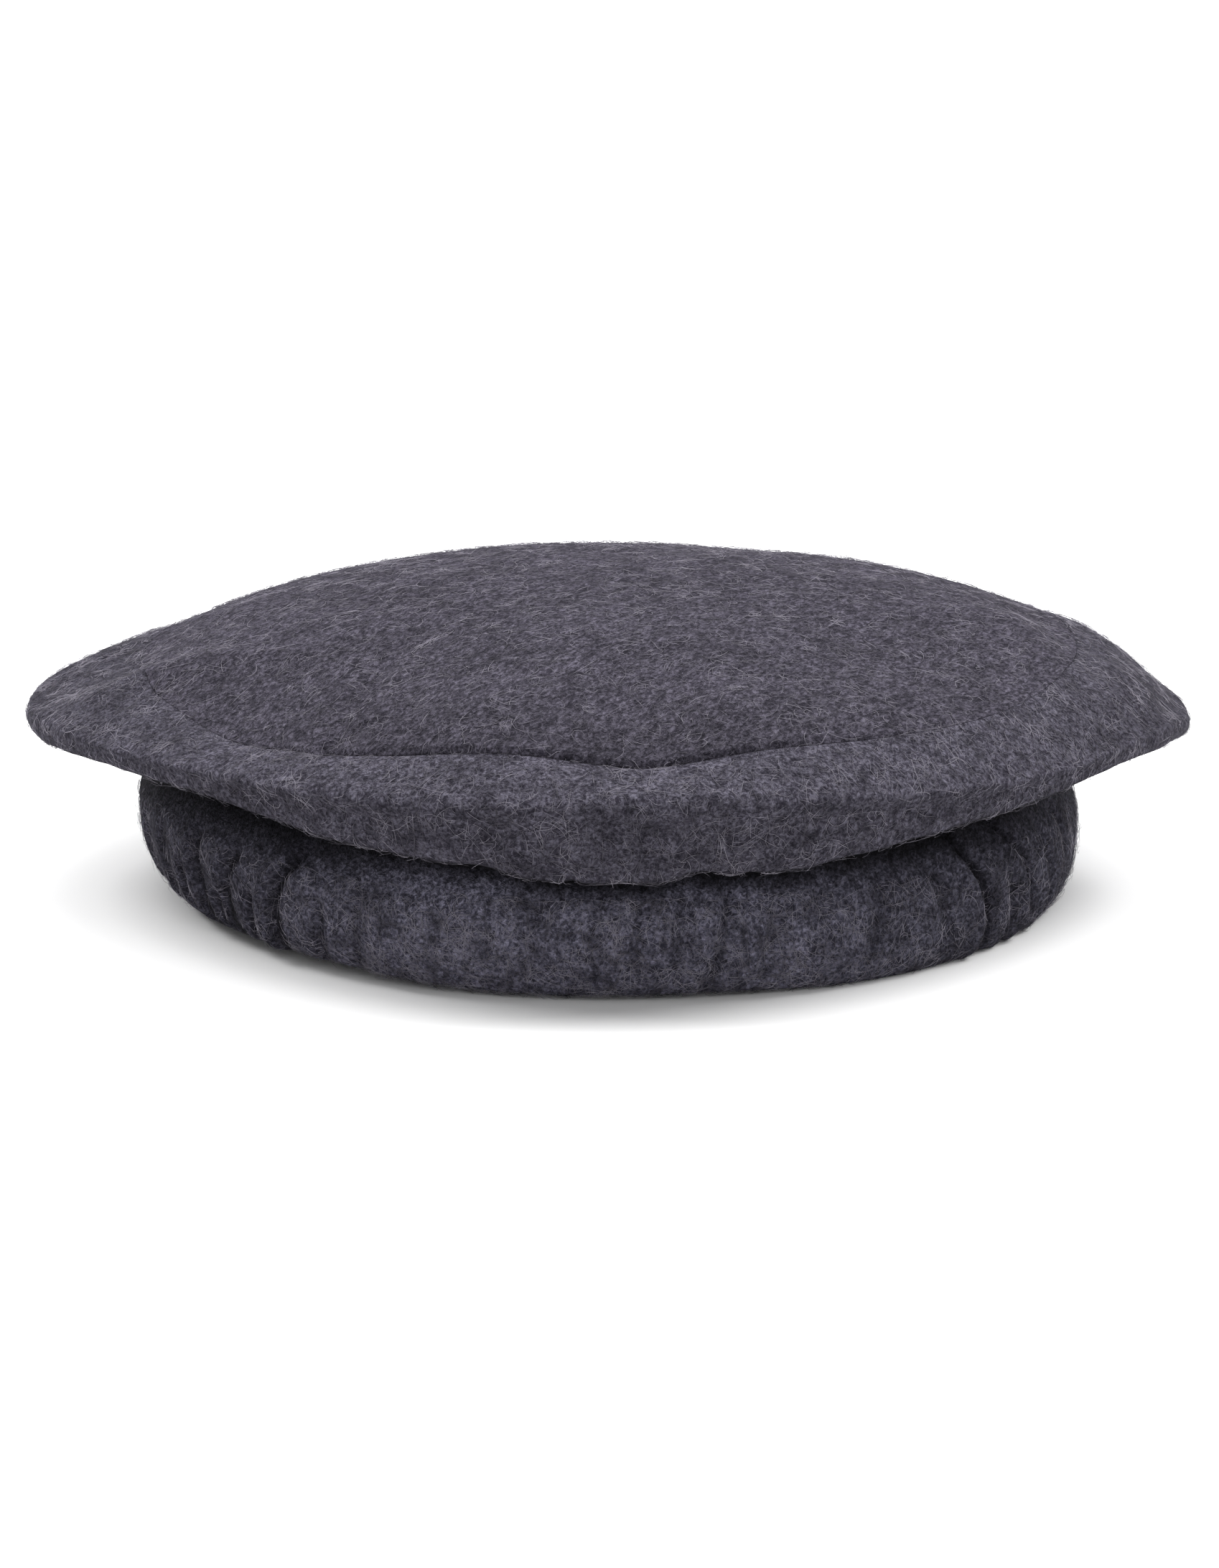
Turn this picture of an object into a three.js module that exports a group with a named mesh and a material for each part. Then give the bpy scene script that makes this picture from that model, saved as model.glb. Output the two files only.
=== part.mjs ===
// A pakol: a soft round wool cap, sewn as a bag with a round top, whose tube is rolled up from below into a thick brim.
// It rests on its rolled brim as it would on a table. Millimetres, +Z up, origin on the floor under the middle of the
// head opening, front of the cap towards -Y and the wearer's left towards +X.
//
// Pieces: crown_top is the domed round panel, crown_side is the tube's upper part, which turns over the rim, under the
// crown and in to the neck, and rolled_brim is the rest of the tube, wound outwards and up on itself.
import * as THREE from "three";

// The cloth, and how closely its pieces lie
const CLOTH = 2.6; // thickness of the felted wool
const PLY_GAP = 0.9; // air between two plies of the roll
const SEAM_GAP = 0.3; // between two pieces that are sewn or rest on each other
const HEM_CLEARANCE = 1.8; // between the hanging lip and the roll behind it

// The rolled brim
const HEAD_OPENING = 184; // inside diameter, for a head of 58 cm
const ROLL_CORE_WIDTH = 9.4; // across the middle line of the innermost ply
const ROLL_CORE_HEIGHT = 25.2;
const ROLL_TURNS = 2.1; // counted from the inner wall at half height
const ROLL_SQUARENESS = 2.8; // 2 is an oval section, more is boxier
const UNDERCUT = 8; // the most that the outer lower edge is drawn up from the floor
const UNDERCUT_POWER = 1.5; // more keeps a wider foot flat on the floor
const REST_PRESS = 0.12; // share of the roll's half height that its own weight presses flat underneath
const WALL_TOP_BELOW_ROLL = 9; // how far the inner wall's top edge lies below the top of the roll

// The crown
const CROWN_LIFT = 40.4; // height of the top of the dome above the roll
const DOME_DROP = 18.6; // from the top of the dome down to the seam
const DOME_POWER = 2.5; // 2 is a parabola, more is flatter on top
const FRONT_OVERHANG = 9.8; // how far the rim reaches past the roll at the front and back
const EAR_OVERHANG = 28.1; // and at the two sides, where the crown is drawn out into soft ears
const LEDGE_WIDTH = 10.7; // from the seam of the top panel out to the rim, at the front
const LEDGE_BULGE = 2.8; // how far the ledge between seam and ridge swells
const RIM_LIFT = 14.2; // height of the front ridge above the roll
const LIP_HEIGHT = 21; // height of the front lip, from its ridge down to its lower edge
const CREASE_DEPTH = 2.4; // depth of the valley along the seam at the front
const CREASE_WIDTH = 3; // half of the valley's width, where it is about a third as deep

// The rim, walked round from the front. azimuth is in degrees, positive towards the wearer's left. ear is how far the
// rim's widest line goes from FRONT_OVERHANG towards EAR_OVERHANG, drop is a share of DOME_DROP, ridge of RIM_LIFT,
// lip of LIP_HEIGHT, crease of CREASE_DEPTH and bulge of LEDGE_BULGE. tuck is how far the lip's lower edge goes from
// the widest line in towards the roll.
const RIM = [
  { azimuth: -90, ear: 1, drop: 1.04, ridge: 0.86, lip: 0.56, tuck: 0.17, crease: 0.05, bulge: 0.3 },
  { azimuth: -79, ear: 0.81, drop: 1.06, ridge: 0.83, lip: 0.42, tuck: 0.18, crease: 0.1, bulge: 0.3 },
  { azimuth: -68, ear: 0.47, drop: 1.1, ridge: 0.8, lip: 0.28, tuck: 0.22, crease: 0.2, bulge: 0.4 },
  { azimuth: -50, ear: 0.14, drop: 1.18, ridge: 0.77, lip: 0.28, tuck: 0.55, crease: 0.5, bulge: 0.5 },
  { azimuth: -34, ear: 0.02, drop: 1.115, ridge: 0.7, lip: 0.42, tuck: 0.95, crease: 1, bulge: 0.5 },
  { azimuth: -16, ear: -0.02, drop: 0.895, ridge: 0.84, lip: 0.72, tuck: 1, crease: 1, bulge: 0.5 },
  { azimuth: 0, ear: 0, drop: 0.955, ridge: 1, lip: 1, tuck: 1, crease: 1, bulge: 0.5 },
  { azimuth: 18, ear: -0.02, drop: 0.865, ridge: 0.92, lip: 0.81, tuck: 1, crease: 1, bulge: 0.5 },
  { azimuth: 34, ear: 0.02, drop: 1, ridge: 0.79, lip: 0.56, tuck: 0.95, crease: 0.8, bulge: 0.5 },
  { azimuth: 50, ear: 0.14, drop: 1.03, ridge: 0.66, lip: 0.36, tuck: 0.55, crease: 0.4, bulge: 0.6 },
  { azimuth: 68, ear: 0.47, drop: 0.97, ridge: 0.69, lip: 0.29, tuck: 0.22, crease: 0.2, bulge: 0.9 },
  { azimuth: 79, ear: 0.81, drop: 0.92, ridge: 0.72, lip: 0.34, tuck: 0.18, crease: 0.1, bulge: 1 },
  { azimuth: 90, ear: 1, drop: 0.92, ridge: 0.62, lip: 0.44, tuck: 0.17, crease: 0.05, bulge: 1 },
  { azimuth: 101, ear: 0.81, drop: 0.88, ridge: 0.7, lip: 0.4, tuck: 0.18, crease: 0.1, bulge: 1 },
  { azimuth: 114, ear: 0.47, drop: 0.86, ridge: 0.7, lip: 0.34, tuck: 0.22, crease: 0.3, bulge: 0.9 },
  { azimuth: 140, ear: 0.1, drop: 0.9, ridge: 0.7, lip: 0.42, tuck: 0.7, crease: 0.6, bulge: 0.6 },
  { azimuth: 180, ear: 0, drop: 0.95, ridge: 0.8, lip: 0.6, tuck: 1, crease: 0.7, bulge: 0.5 },
  { azimuth: 220, ear: 0.1, drop: 1.02, ridge: 0.72, lip: 0.42, tuck: 0.7, crease: 0.6, bulge: 0.5 },
  { azimuth: 246, ear: 0.47, drop: 1.04, ridge: 0.75, lip: 0.34, tuck: 0.22, crease: 0.3, bulge: 0.4 },
  { azimuth: 259, ear: 0.81, drop: 1.04, ridge: 0.83, lip: 0.42, tuck: 0.18, crease: 0.1, bulge: 0.3 },
];

// The section of the ledge and the lip. out is how far a point goes from the seam to the ridge, down how far it goes
// from one height to the other, and swell its share of the bulge. For the lip, down is a share of its height and
// inward a share of its tuck.
const LEDGE_SECTION = [
  { out: 0, down: 0, swell: 0 },
  { out: 0.3, down: 0.3, swell: 1 },
  { out: 0.7, down: 0.7, swell: 1 },
];
const LIP_SECTION = [
  { down: 0, inward: 0.6 },
  { down: 0.14, inward: 0.15 },
  { down: 0.4, inward: 0 },
  { down: 0.75, inward: 0.1 },
  { down: 0.93, inward: 0.4 },
  { down: 1, inward: 1 },
];
const FOLD_LIMIT = 0.28; // the cloth of the lip is at most this share of the lip's height, pressed where it is low

// Where the crown turns in under the lip and lands on the roll: SHOULDER_INSET is a share of the roll's thickness,
// RETURN_RISE and NECK_BEND are shares of the cloth's thickness.
const SHOULDER_INSET = 0.12;
const RETURN_RISE = 0.7;
const NECK_BEND = 0.8;

// How the roll lies, walked round in the same way: undercut is how far its outer lower edge is drawn up, as a share
// of UNDERCUT.
const ROLL_LIE = [
  { azimuth: -90, undercut: 0.9 },
  { azimuth: -55, undercut: 0.9 },
  { azimuth: -35, undercut: 0.6 },
  { azimuth: -15, undercut: 0.15 },
  { azimuth: 0, undercut: 0.05 },
  { azimuth: 15, undercut: 0 },
  { azimuth: 35, undercut: -0.15 },
  { azimuth: 70, undercut: -0.15 },
  { azimuth: 120, undercut: 0.15 },
  { azimuth: 180, undercut: 0.2 },
  { azimuth: 230, undercut: 0.4 },
];

// Gathers that run up the outside of the roll. depth is a share of CLOTH, width a share of the roll's thickness.
const GATHERS = [
  { azimuth: -63, depth: 0.5, width: 0.2 },
  { azimuth: -55, depth: 0.8, width: 0.22 },
  { azimuth: -45, depth: 0.7, width: 0.24 },
  { azimuth: -1, depth: 0.45, width: 0.3 },
  { azimuth: 10, depth: 0.6, width: 0.26 },
  { azimuth: 20, depth: 0.4, width: 0.3 },
  { azimuth: 48, depth: 0.9, width: 0.24 },
  { azimuth: 59, depth: 0.75, width: 0.24 },
  { azimuth: 128, depth: 0.6, width: 0.3 },
  { azimuth: 171, depth: 0.5, width: 0.3 },
  { azimuth: 214, depth: 0.7, width: 0.3 },
];

// Soft hollows in the dome. across and forward place the middle as shares of the seam's radius, spread is its
// radius as the same kind of share, and depth is a share of DOME_DROP.
const HOLLOWS = [
  { across: -0.52, forward: 0.56, spread: 0.26, depth: 0.07 },
  { across: 0.05, forward: 0.86, spread: 0.16, depth: 0.06 },
  { across: 0.62, forward: 0.46, spread: 0.24, depth: 0.04 },
  { across: -0.66, forward: -0.12, spread: 0.22, depth: 0.05 },
  { across: 0.3, forward: -0.6, spread: 0.28, depth: 0.04 },
];

// How finely the surfaces are cut
const EVEN_STATIONS = 44; // stations round the cap before those for gathers and ears are added
const DOME_RINGS = 8;
const STEPS_PER_TURN = 12;
const MITRE_LIMIT = 0.6; // keeps a sharp bend from throwing its corner out

// The wool, grey with a breath of violet
const WOOL_COLOR = 0x4a4852;
const WOOL_ROUGHNESS = 0.95;

// Sizes that follow from those above
const PITCH = CLOTH + PLY_GAP;
const HALF_CLOTH = CLOTH / 2;
const HEAD_RADIUS = HEAD_OPENING / 2;
const WALL_MIDDLE = HEAD_RADIUS + HALF_CLOTH;
const ROLL_HALF_WIDTH = ROLL_CORE_WIDTH / 2 + PITCH * ROLL_TURNS; // at the inner wall, where the roll begins
const ROLL_HALF_HEIGHT = ROLL_CORE_HEIGHT / 2 + PITCH * (ROLL_TURNS - 0.25);
const ROLL_CENTRE_R = WALL_MIDDLE + ROLL_HALF_WIDTH;
const ROLL_CENTRE_Z = ROLL_HALF_HEIGHT * (1 - REST_PRESS) + HALF_CLOTH;
const ROLL_OUTER_R = ROLL_CENTRE_R + ROLL_HALF_WIDTH - PITCH / 2 + HALF_CLOTH;
const ROLL_TOP = ROLL_CENTRE_Z + ROLL_HALF_HEIGHT - PITCH / 2 + HALF_CLOTH;
const ROLL_THICKNESS = ROLL_OUTER_R - HEAD_RADIUS;
const WALL_TOP = ROLL_TOP - WALL_TOP_BELOW_ROLL;
const FRONT_REACH = ROLL_OUTER_R + FRONT_OVERHANG;
const EAR_REACH = ROLL_OUTER_R + EAR_OVERHANG;
const LIP_INNER_R = ROLL_OUTER_R + HEM_CLEARANCE + CLOTH;
const SEAM_RADIUS = FRONT_REACH - LEDGE_WIDTH;
const DOME_TOP = ROLL_TOP + CROWN_LIFT;
const UNDERSIDE = ROLL_TOP + SEAM_GAP;

const radians = THREE.MathUtils.degToRad;
const lerp = THREE.MathUtils.lerp;
const smoothstep = THREE.MathUtils.smoothstep;

/** A smooth periodic function of azimuth, in degrees, through one column of a table sorted by azimuth. */
function aroundTheCap(rows, column) {
  const count = rows.length;
  const at = (i) => {
    const turn = Math.floor(i / count);
    const row = rows[i - turn * count];
    return { x: row.azimuth + 360 * turn, y: row[column] };
  };
  const slope = (i) => {
    const before = at(i - 1);
    const after = at(i + 1);
    return (after.y - before.y) / (after.x - before.x);
  };
  return (azimuth) => {
    const start = rows[0].azimuth;
    const wrapped = THREE.MathUtils.euclideanModulo(azimuth - start, 360) + start;
    let i = 0;
    while (at(i + 1).x <= wrapped) i++;
    const a = at(i);
    const b = at(i + 1);
    const span = b.x - a.x;
    const t = (wrapped - a.x) / span;
    const t2 = t * t;
    const t3 = t2 * t;
    return (
      (2 * t3 - 3 * t2 + 1) * a.y +
      (t3 - 2 * t2 + t) * span * slope(i) +
      (3 * t2 - 2 * t3) * b.y +
      (t3 - t2) * span * slope(i + 1)
    );
  };
}

const rim = Object.fromEntries(
  ["ear", "drop", "ridge", "lip", "tuck", "crease", "bulge"].map((column) => [column, aroundTheCap(RIM, column)]),
);

const undercut = aroundTheCap(ROLL_LIE, "undercut");

/** How far apart two azimuths are, in degrees, from -180 to 180. */
function azimuthBetween(a, b) {
  return THREE.MathUtils.euclideanModulo(a - b + 180, 360) - 180;
}

/** A point at a radius and height on an azimuth in degrees. */
function pointAt(azimuth, r, z) {
  const angle = radians(azimuth);
  return new THREE.Vector3(r * Math.sin(angle), -r * Math.cos(angle), z);
}

/** Stations round the cap: even ones, and closer ones beside the middle of each named feature. */
function stationsWith(azimuths, offsets) {
  const even = Array.from({ length: EVEN_STATIONS }, (_, i) => (i * 360) / EVEN_STATIONS);
  const extra = azimuths.flatMap((azimuth) => offsets.map((offset) => azimuth + offset));
  const nearest = 0.45 * (360 / EVEN_STATIONS);
  const kept = even.filter((a) => extra.every((b) => Math.abs(azimuthBetween(a, b)) > nearest));
  const all = [...kept, ...extra].map((a) => THREE.MathUtils.euclideanModulo(a, 360));
  return all.sort((a, b) => a - b);
}

// The crown's two pieces share their stations, so that their facets meet evenly along the seam
const crownStations = stationsWith([-90, 90], [-14, -7, 0, 7, 14]);

/** A section line moved sideways, to the left of its direction, by a distance for each of its points of r and z. */
function beside(line, distanceAt) {
  return line.map((point, i) => {
    const before = line[Math.max(i - 1, 0)];
    const after = line[Math.min(i + 1, line.length - 1)];
    const inward = point.clone().sub(before).normalize();
    const outward = after.clone().sub(point).normalize();
    if (i === 0) inward.copy(outward);
    if (i === line.length - 1) outward.copy(inward);
    const along = inward.clone().add(outward).normalize();
    const mitre = distanceAt(i) / Math.max(along.dot(inward), MITRE_LIMIT);
    return new THREE.Vector2(point.x - along.y * mitre, point.y + along.x * mitre);
  });
}

/** A closed geometry from an indexed list of points and triangles. */
function closedGeometry(points, triangles) {
  const geometry = new THREE.BufferGeometry().setFromPoints(points);
  geometry.setIndex(triangles);
  geometry.computeVertexNormals();
  return geometry;
}

/** A ring: sectionAt gives, for each station, a closed anticlockwise section of r and z points. */
function ringLoft(stations, sectionAt) {
  const sections = stations.map((azimuth) => sectionAt(azimuth));
  const size = sections[0].length;
  const points = sections.flatMap((section, i) => section.map((p) => pointAt(stations[i], p.x, p.y)));
  const triangles = [];
  for (let i = 0; i < stations.length; i++) {
    const here = i * size;
    const next = ((i + 1) % stations.length) * size;
    for (let j = 0; j < size; j++) {
      const k = (j + 1) % size;
      triangles.push(here + j, next + j, here + k);
      triangles.push(next + j, next + k, here + k);
    }
  }
  return closedGeometry(points, triangles);
}

/** A cap: sectionAt gives the section from its lower pole, out and back to its upper pole, which lie on the axis. */
function capLoft(stations, sectionAt, lowerPole, upperPole) {
  const sections = stations.map((azimuth) => sectionAt(azimuth));
  const size = sections[0].length;
  const points = sections.flatMap((section, i) => section.map((p) => pointAt(stations[i], p.x, p.y)));
  const lower = points.push(new THREE.Vector3(0, 0, lowerPole)) - 1;
  const upper = points.push(new THREE.Vector3(0, 0, upperPole)) - 1;
  const triangles = [];
  for (let i = 0; i < stations.length; i++) {
    const here = i * size;
    const next = ((i + 1) % stations.length) * size;
    triangles.push(lower, next, here);
    for (let j = 0; j + 1 < size; j++) {
      triangles.push(here + j, next + j, here + j + 1);
      triangles.push(next + j, next + j + 1, here + j + 1);
    }
    triangles.push(upper, here + size - 1, next + size - 1);
  }
  return closedGeometry(points, triangles);
}

/** Height of the dome's outside at a radius on an azimuth, with its hollows and the valley along the seam. */
function domeHeight(azimuth, r) {
  const share = r / SEAM_RADIUS;
  const place = pointAt(azimuth, share, 0);
  let z = DOME_TOP - DOME_DROP * rim.drop(azimuth) * share ** DOME_POWER;
  for (const hollow of HOLLOWS) {
    const away = Math.hypot(place.x - hollow.across, -place.y - hollow.forward) / hollow.spread;
    z -= hollow.depth * DOME_DROP * Math.exp(-away * away);
  }
  const fromSeam = (SEAM_RADIUS - r) / CREASE_WIDTH;
  return z - CREASE_DEPTH * rim.crease(azimuth) * Math.exp(-fromSeam * fromSeam);
}

/** The domed round panel: a shell one cloth thick that ends in the valley along the seam. */
function crownTop() {
  const edge = SEAM_RADIUS - SEAM_GAP / 2;
  const rings = Array.from({ length: DOME_RINGS }, (_, i) => {
    const share = (i + 1) / DOME_RINGS;
    return edge * (1 - (1 - share) ** 1.35);
  });
  const sectionAt = (azimuth) => {
    const outside = [0, ...rings].map((r) => new THREE.Vector2(r, domeHeight(azimuth, r)));
    const inside = beside(outside, () => -CLOTH).slice(1);
    inside[inside.length - 1].x = edge;
    return [...inside, ...outside.slice(1).reverse()];
  };
  const top = domeHeight(0, 0);
  return capLoft(crownStations, sectionAt, top - CLOTH, top);
}

/** The outside line of the tube's upper part on one azimuth, from the seam over the rim and in to the neck. */
function sideLine(azimuth) {
  const reach = lerp(FRONT_REACH, EAR_REACH, rim.ear(azimuth));
  const tuck = (reach - LIP_INNER_R) * rim.tuck(azimuth);
  const lip = LIP_HEIGHT * rim.lip(azimuth);
  const bulge = LEDGE_BULGE * rim.bulge(azimuth);
  const ridge = ROLL_TOP + RIM_LIFT * rim.ridge(azimuth);
  const ridgeR = reach - tuck * LIP_SECTION[0].inward;
  const seam = domeHeight(azimuth, SEAM_RADIUS);
  const seamR = SEAM_RADIUS + SEAM_GAP / 2;
  const hemR = reach - tuck;
  const hem = ridge - lip;
  const returnR = hemR - CLOTH;
  const returnZ = hem + RETURN_RISE * CLOTH;
  const shoulderR = ROLL_OUTER_R - SHOULDER_INSET * ROLL_THICKNESS;
  const neckR = HEAD_RADIUS + CLOTH;
  const ledge = LEDGE_SECTION.map(({ out, down, swell }) => [
    lerp(seamR, ridgeR, out),
    lerp(seam, ridge, down) + swell * bulge,
  ]);
  const lipFace = LIP_SECTION.map(({ down, inward }) => [reach - tuck * inward, ridge - lip * down]);
  const underside = [
    [returnR, returnZ],
    [lerp(returnR, shoulderR, 0.5), lerp(returnZ, UNDERSIDE, 0.7)],
    [shoulderR, UNDERSIDE],
    [neckR + NECK_BEND * CLOTH, UNDERSIDE],
    [neckR, UNDERSIDE - CLOTH],
    [neckR, WALL_TOP + SEAM_GAP],
  ];
  return [...ledge, ...lipFace, ...underside].map(([r, z]) => new THREE.Vector2(r, z));
}

/** The tube's upper part, one cloth thick: ledge, lip, underside and neck. */
function crownSide() {
  const sectionAt = (azimuth) => {
    const outside = sideLine(azimuth);
    const folded = Math.min(CLOTH, FOLD_LIMIT * LIP_HEIGHT * rim.lip(azimuth));
    const lipStart = LEDGE_SECTION.length;
    const lipEnd = lipStart + LIP_SECTION.length;
    const inside = beside(outside, (i) => (i >= lipStart && i < lipEnd ? -folded : -CLOTH));
    inside[0].x = outside[0].x;
    inside[inside.length - 1].y = outside[outside.length - 1].y;
    return [...outside.reverse(), ...inside];
  };
  return ringLoft(crownStations, sectionAt);
}

/** How far the gathers draw the roll's outside in at an azimuth, as a share of the cloth's thickness. */
function gatherAt(azimuth) {
  const depths = GATHERS.map((gather) => {
    const alongRoll = radians(azimuthBetween(azimuth, gather.azimuth)) * ROLL_OUTER_R;
    const away = alongRoll / (gather.width * ROLL_THICKNESS);
    return gather.depth * Math.exp(-away * away);
  });
  return Math.max(...depths);
}

/** One side of the wound cloth's section, from the inner wall down, out, up and round to its end in the core. */
function rollLine(azimuth) {
  const gather = gatherAt(azimuth);
  const steps = Math.round(ROLL_TURNS * STEPS_PER_TURN);
  const line = [new THREE.Vector2(WALL_MIDDLE, WALL_TOP)];
  for (let i = 0; i <= steps; i++) {
    const turn = i / STEPS_PER_TURN;
    const angle = Math.PI * (1 + 2 * turn);
    const across = Math.cos(angle);
    const up = Math.sin(angle);
    const halfWidth = ROLL_HALF_WIDTH - PITCH * turn;
    const halfHeight = ROLL_HALF_HEIGHT - PITCH * (turn - 0.25);
    const out = halfWidth * Math.sign(across) * Math.abs(across) ** (2 / ROLL_SQUARENESS);
    const level = Math.sign(up) * Math.abs(up) ** (2 / ROLL_SQUARENESS);
    const lowest = PITCH * Math.floor(turn + 0.25) - ROLL_HALF_HEIGHT * (1 - REST_PRESS);
    const high = Math.max(halfHeight * level, lowest);
    const outer = Math.max(across, 0);
    const lower = (1 - up) / 2;
    const drawnIn = gather * CLOTH * outer;
    const drawnUp = UNDERCUT * undercut(azimuth) * outer ** UNDERCUT_POWER * lower;
    line.push(new THREE.Vector2(ROLL_CENTRE_R + out - drawnIn, ROLL_CENTRE_Z + high + drawnUp));
  }
  return line;
}

/** The rolled brim: the tube's lower part as one wound cloth, pressed flat where it rests on the floor. */
function rolledBrim() {
  const sectionAt = (azimuth) => {
    const line = rollLine(azimuth);
    const outside = beside(line, () => -HALF_CLOTH);
    const inside = beside(line, () => HALF_CLOTH);
    for (const point of outside) point.y = Math.max(point.y, 0);
    return [...outside, ...inside.reverse()];
  };
  const stations = stationsWith(
    GATHERS.map((gather) => gather.azimuth),
    [-2.4, 0, 2.4],
  );
  return ringLoft(stations, sectionAt);
}

/** One named piece in its wool. */
function piece(name, geometry) {
  const wool = new THREE.MeshStandardMaterial({ color: WOOL_COLOR, roughness: WOOL_ROUGHNESS, metalness: 0 });
  const mesh = new THREE.Mesh(geometry, wool);
  mesh.name = name;
  return mesh;
}

const cap = new THREE.Group();
cap.name = "pakol";
cap.add(piece("crown_top", crownTop()), piece("crown_side", crownSide()), piece("rolled_brim", rolledBrim()));

export default cap;
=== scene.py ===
"""A pakol: a soft round wool cap, sewn as a bag with a round top, whose tube is rolled up into a thick brim.

It rests on its rolled brim. The cloth is laid out in millimetres and placed in metres, +Z up, the front of
the cap towards -Y and the wearer's left towards +X. Azimuths are in degrees from the front, positive towards
the left.
"""
import logging
import math
from collections.abc import Callable, Iterator, Sequence
from contextlib import contextmanager
from dataclasses import dataclass
from enum import Enum
from typing import NamedTuple

import bmesh
import bpy
import numpy as np
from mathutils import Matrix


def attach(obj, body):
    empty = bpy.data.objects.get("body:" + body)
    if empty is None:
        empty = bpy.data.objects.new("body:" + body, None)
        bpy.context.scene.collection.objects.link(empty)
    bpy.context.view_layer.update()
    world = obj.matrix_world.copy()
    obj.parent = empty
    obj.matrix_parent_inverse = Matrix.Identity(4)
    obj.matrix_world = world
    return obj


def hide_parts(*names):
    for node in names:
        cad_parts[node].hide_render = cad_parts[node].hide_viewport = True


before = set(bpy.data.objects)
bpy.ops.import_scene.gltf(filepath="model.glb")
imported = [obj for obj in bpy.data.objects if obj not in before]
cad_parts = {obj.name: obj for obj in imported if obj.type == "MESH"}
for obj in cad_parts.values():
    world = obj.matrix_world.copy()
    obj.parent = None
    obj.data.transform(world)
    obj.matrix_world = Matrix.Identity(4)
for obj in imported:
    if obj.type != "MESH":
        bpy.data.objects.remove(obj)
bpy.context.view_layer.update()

MM = 0.001
TINY = 1e-9
QUARTER_TURN = 0.25
HAIR_SIDES = 3
# names of the attributes that carry the painted highlight and the painted shade
PAINTED_HIGHLIGHT, PAINTED_SHADE = "painted_highlight", "painted_shade"
BODY = "root"

log = logging.getLogger("pakol")

Color = tuple[float, float, float]
Socket = bpy.types.NodeSocket
Inputs = dict[str | int, object]
Masks = dict[str, Socket]


class Nap(Enum):
    """How the wool's hair lies on a piece."""

    MATTED = "matted"
    COMBED = "combed"


class Rim(NamedTuple):
    """The rim at one azimuth.

    ear is how far its widest line goes from the front's reach to the ears', drop is a share of the dome's
    drop, ridge of the rim's lift, lip of the lip's height, crease of the seam's valley, bulge of the ledge's
    swell, and tuck how far the lip's lower edge goes from the widest line in towards the roll. crisp is how
    sharply the ridge turns.
    """

    azimuth: float
    ear: float
    drop: float
    ridge: float
    lip: float
    tuck: float
    crease: float
    bulge: float
    crisp: float


class Lie(NamedTuple):
    """How the roll lies at one azimuth.

    undercut is how far its outer lower edge is drawn up, as a share of the most, and lean how far its outside
    leans out at the top and in at the foot. boxy and shoulder are the powers of the lower and upper halves of
    its section, 2 for an oval.
    """

    azimuth: float
    undercut: float
    lean: float
    boxy: float
    shoulder: float


class Section(NamedTuple):
    """A point of the lip's section: shares of its height and tuck, where the ridge is soft or crisp."""

    down: float
    inward: float
    crisp_down: float
    crisp_inward: float


class Ledge(NamedTuple):
    """A point of the ledge's section: shares of the way out, of the way down, and of the swell."""

    out: float
    down: float
    swell: float


class Hollow(NamedTuple):
    """A soft hollow in the dome: place and spread in shares of the seam's radius, depth in millimetres.

    A swell has less than 0.
    """

    across: float
    forward: float
    spread: float
    depth: float


class DomeFold(NamedTuple):
    """A long fold in the dome, between two places in shares of the seam's radius. A ridge has less than 0."""

    start_across: float
    start_forward: float
    end_across: float
    end_forward: float
    width: float
    depth: float


class BrimFold(NamedTuple):
    """A fold up the roll's outside, on a curve through three azimuths. lap raises the cloth on one side."""

    top_azimuth: float
    middle_azimuth: float
    low_azimuth: float
    top: float
    low: float
    width: float
    depth: float
    lap: float


class HemNotch(NamedTuple):
    """A small rise (or, below 0, a dip) of the lip's lower edge, in millimetres."""

    azimuth: float
    width: float
    rise: float


class Lumps(NamedTuple):
    """A layer of soft random lumps: their height and spacing in millimetres, and their seed."""

    height: float
    spacing: float
    seed: int


class Lamp(NamedTuple):
    """A soft light: its strength, and how wide, how far from overhead and where round the cap it shines."""

    name: str
    energy: float
    spread: float
    tilt: float
    turn: float


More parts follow.
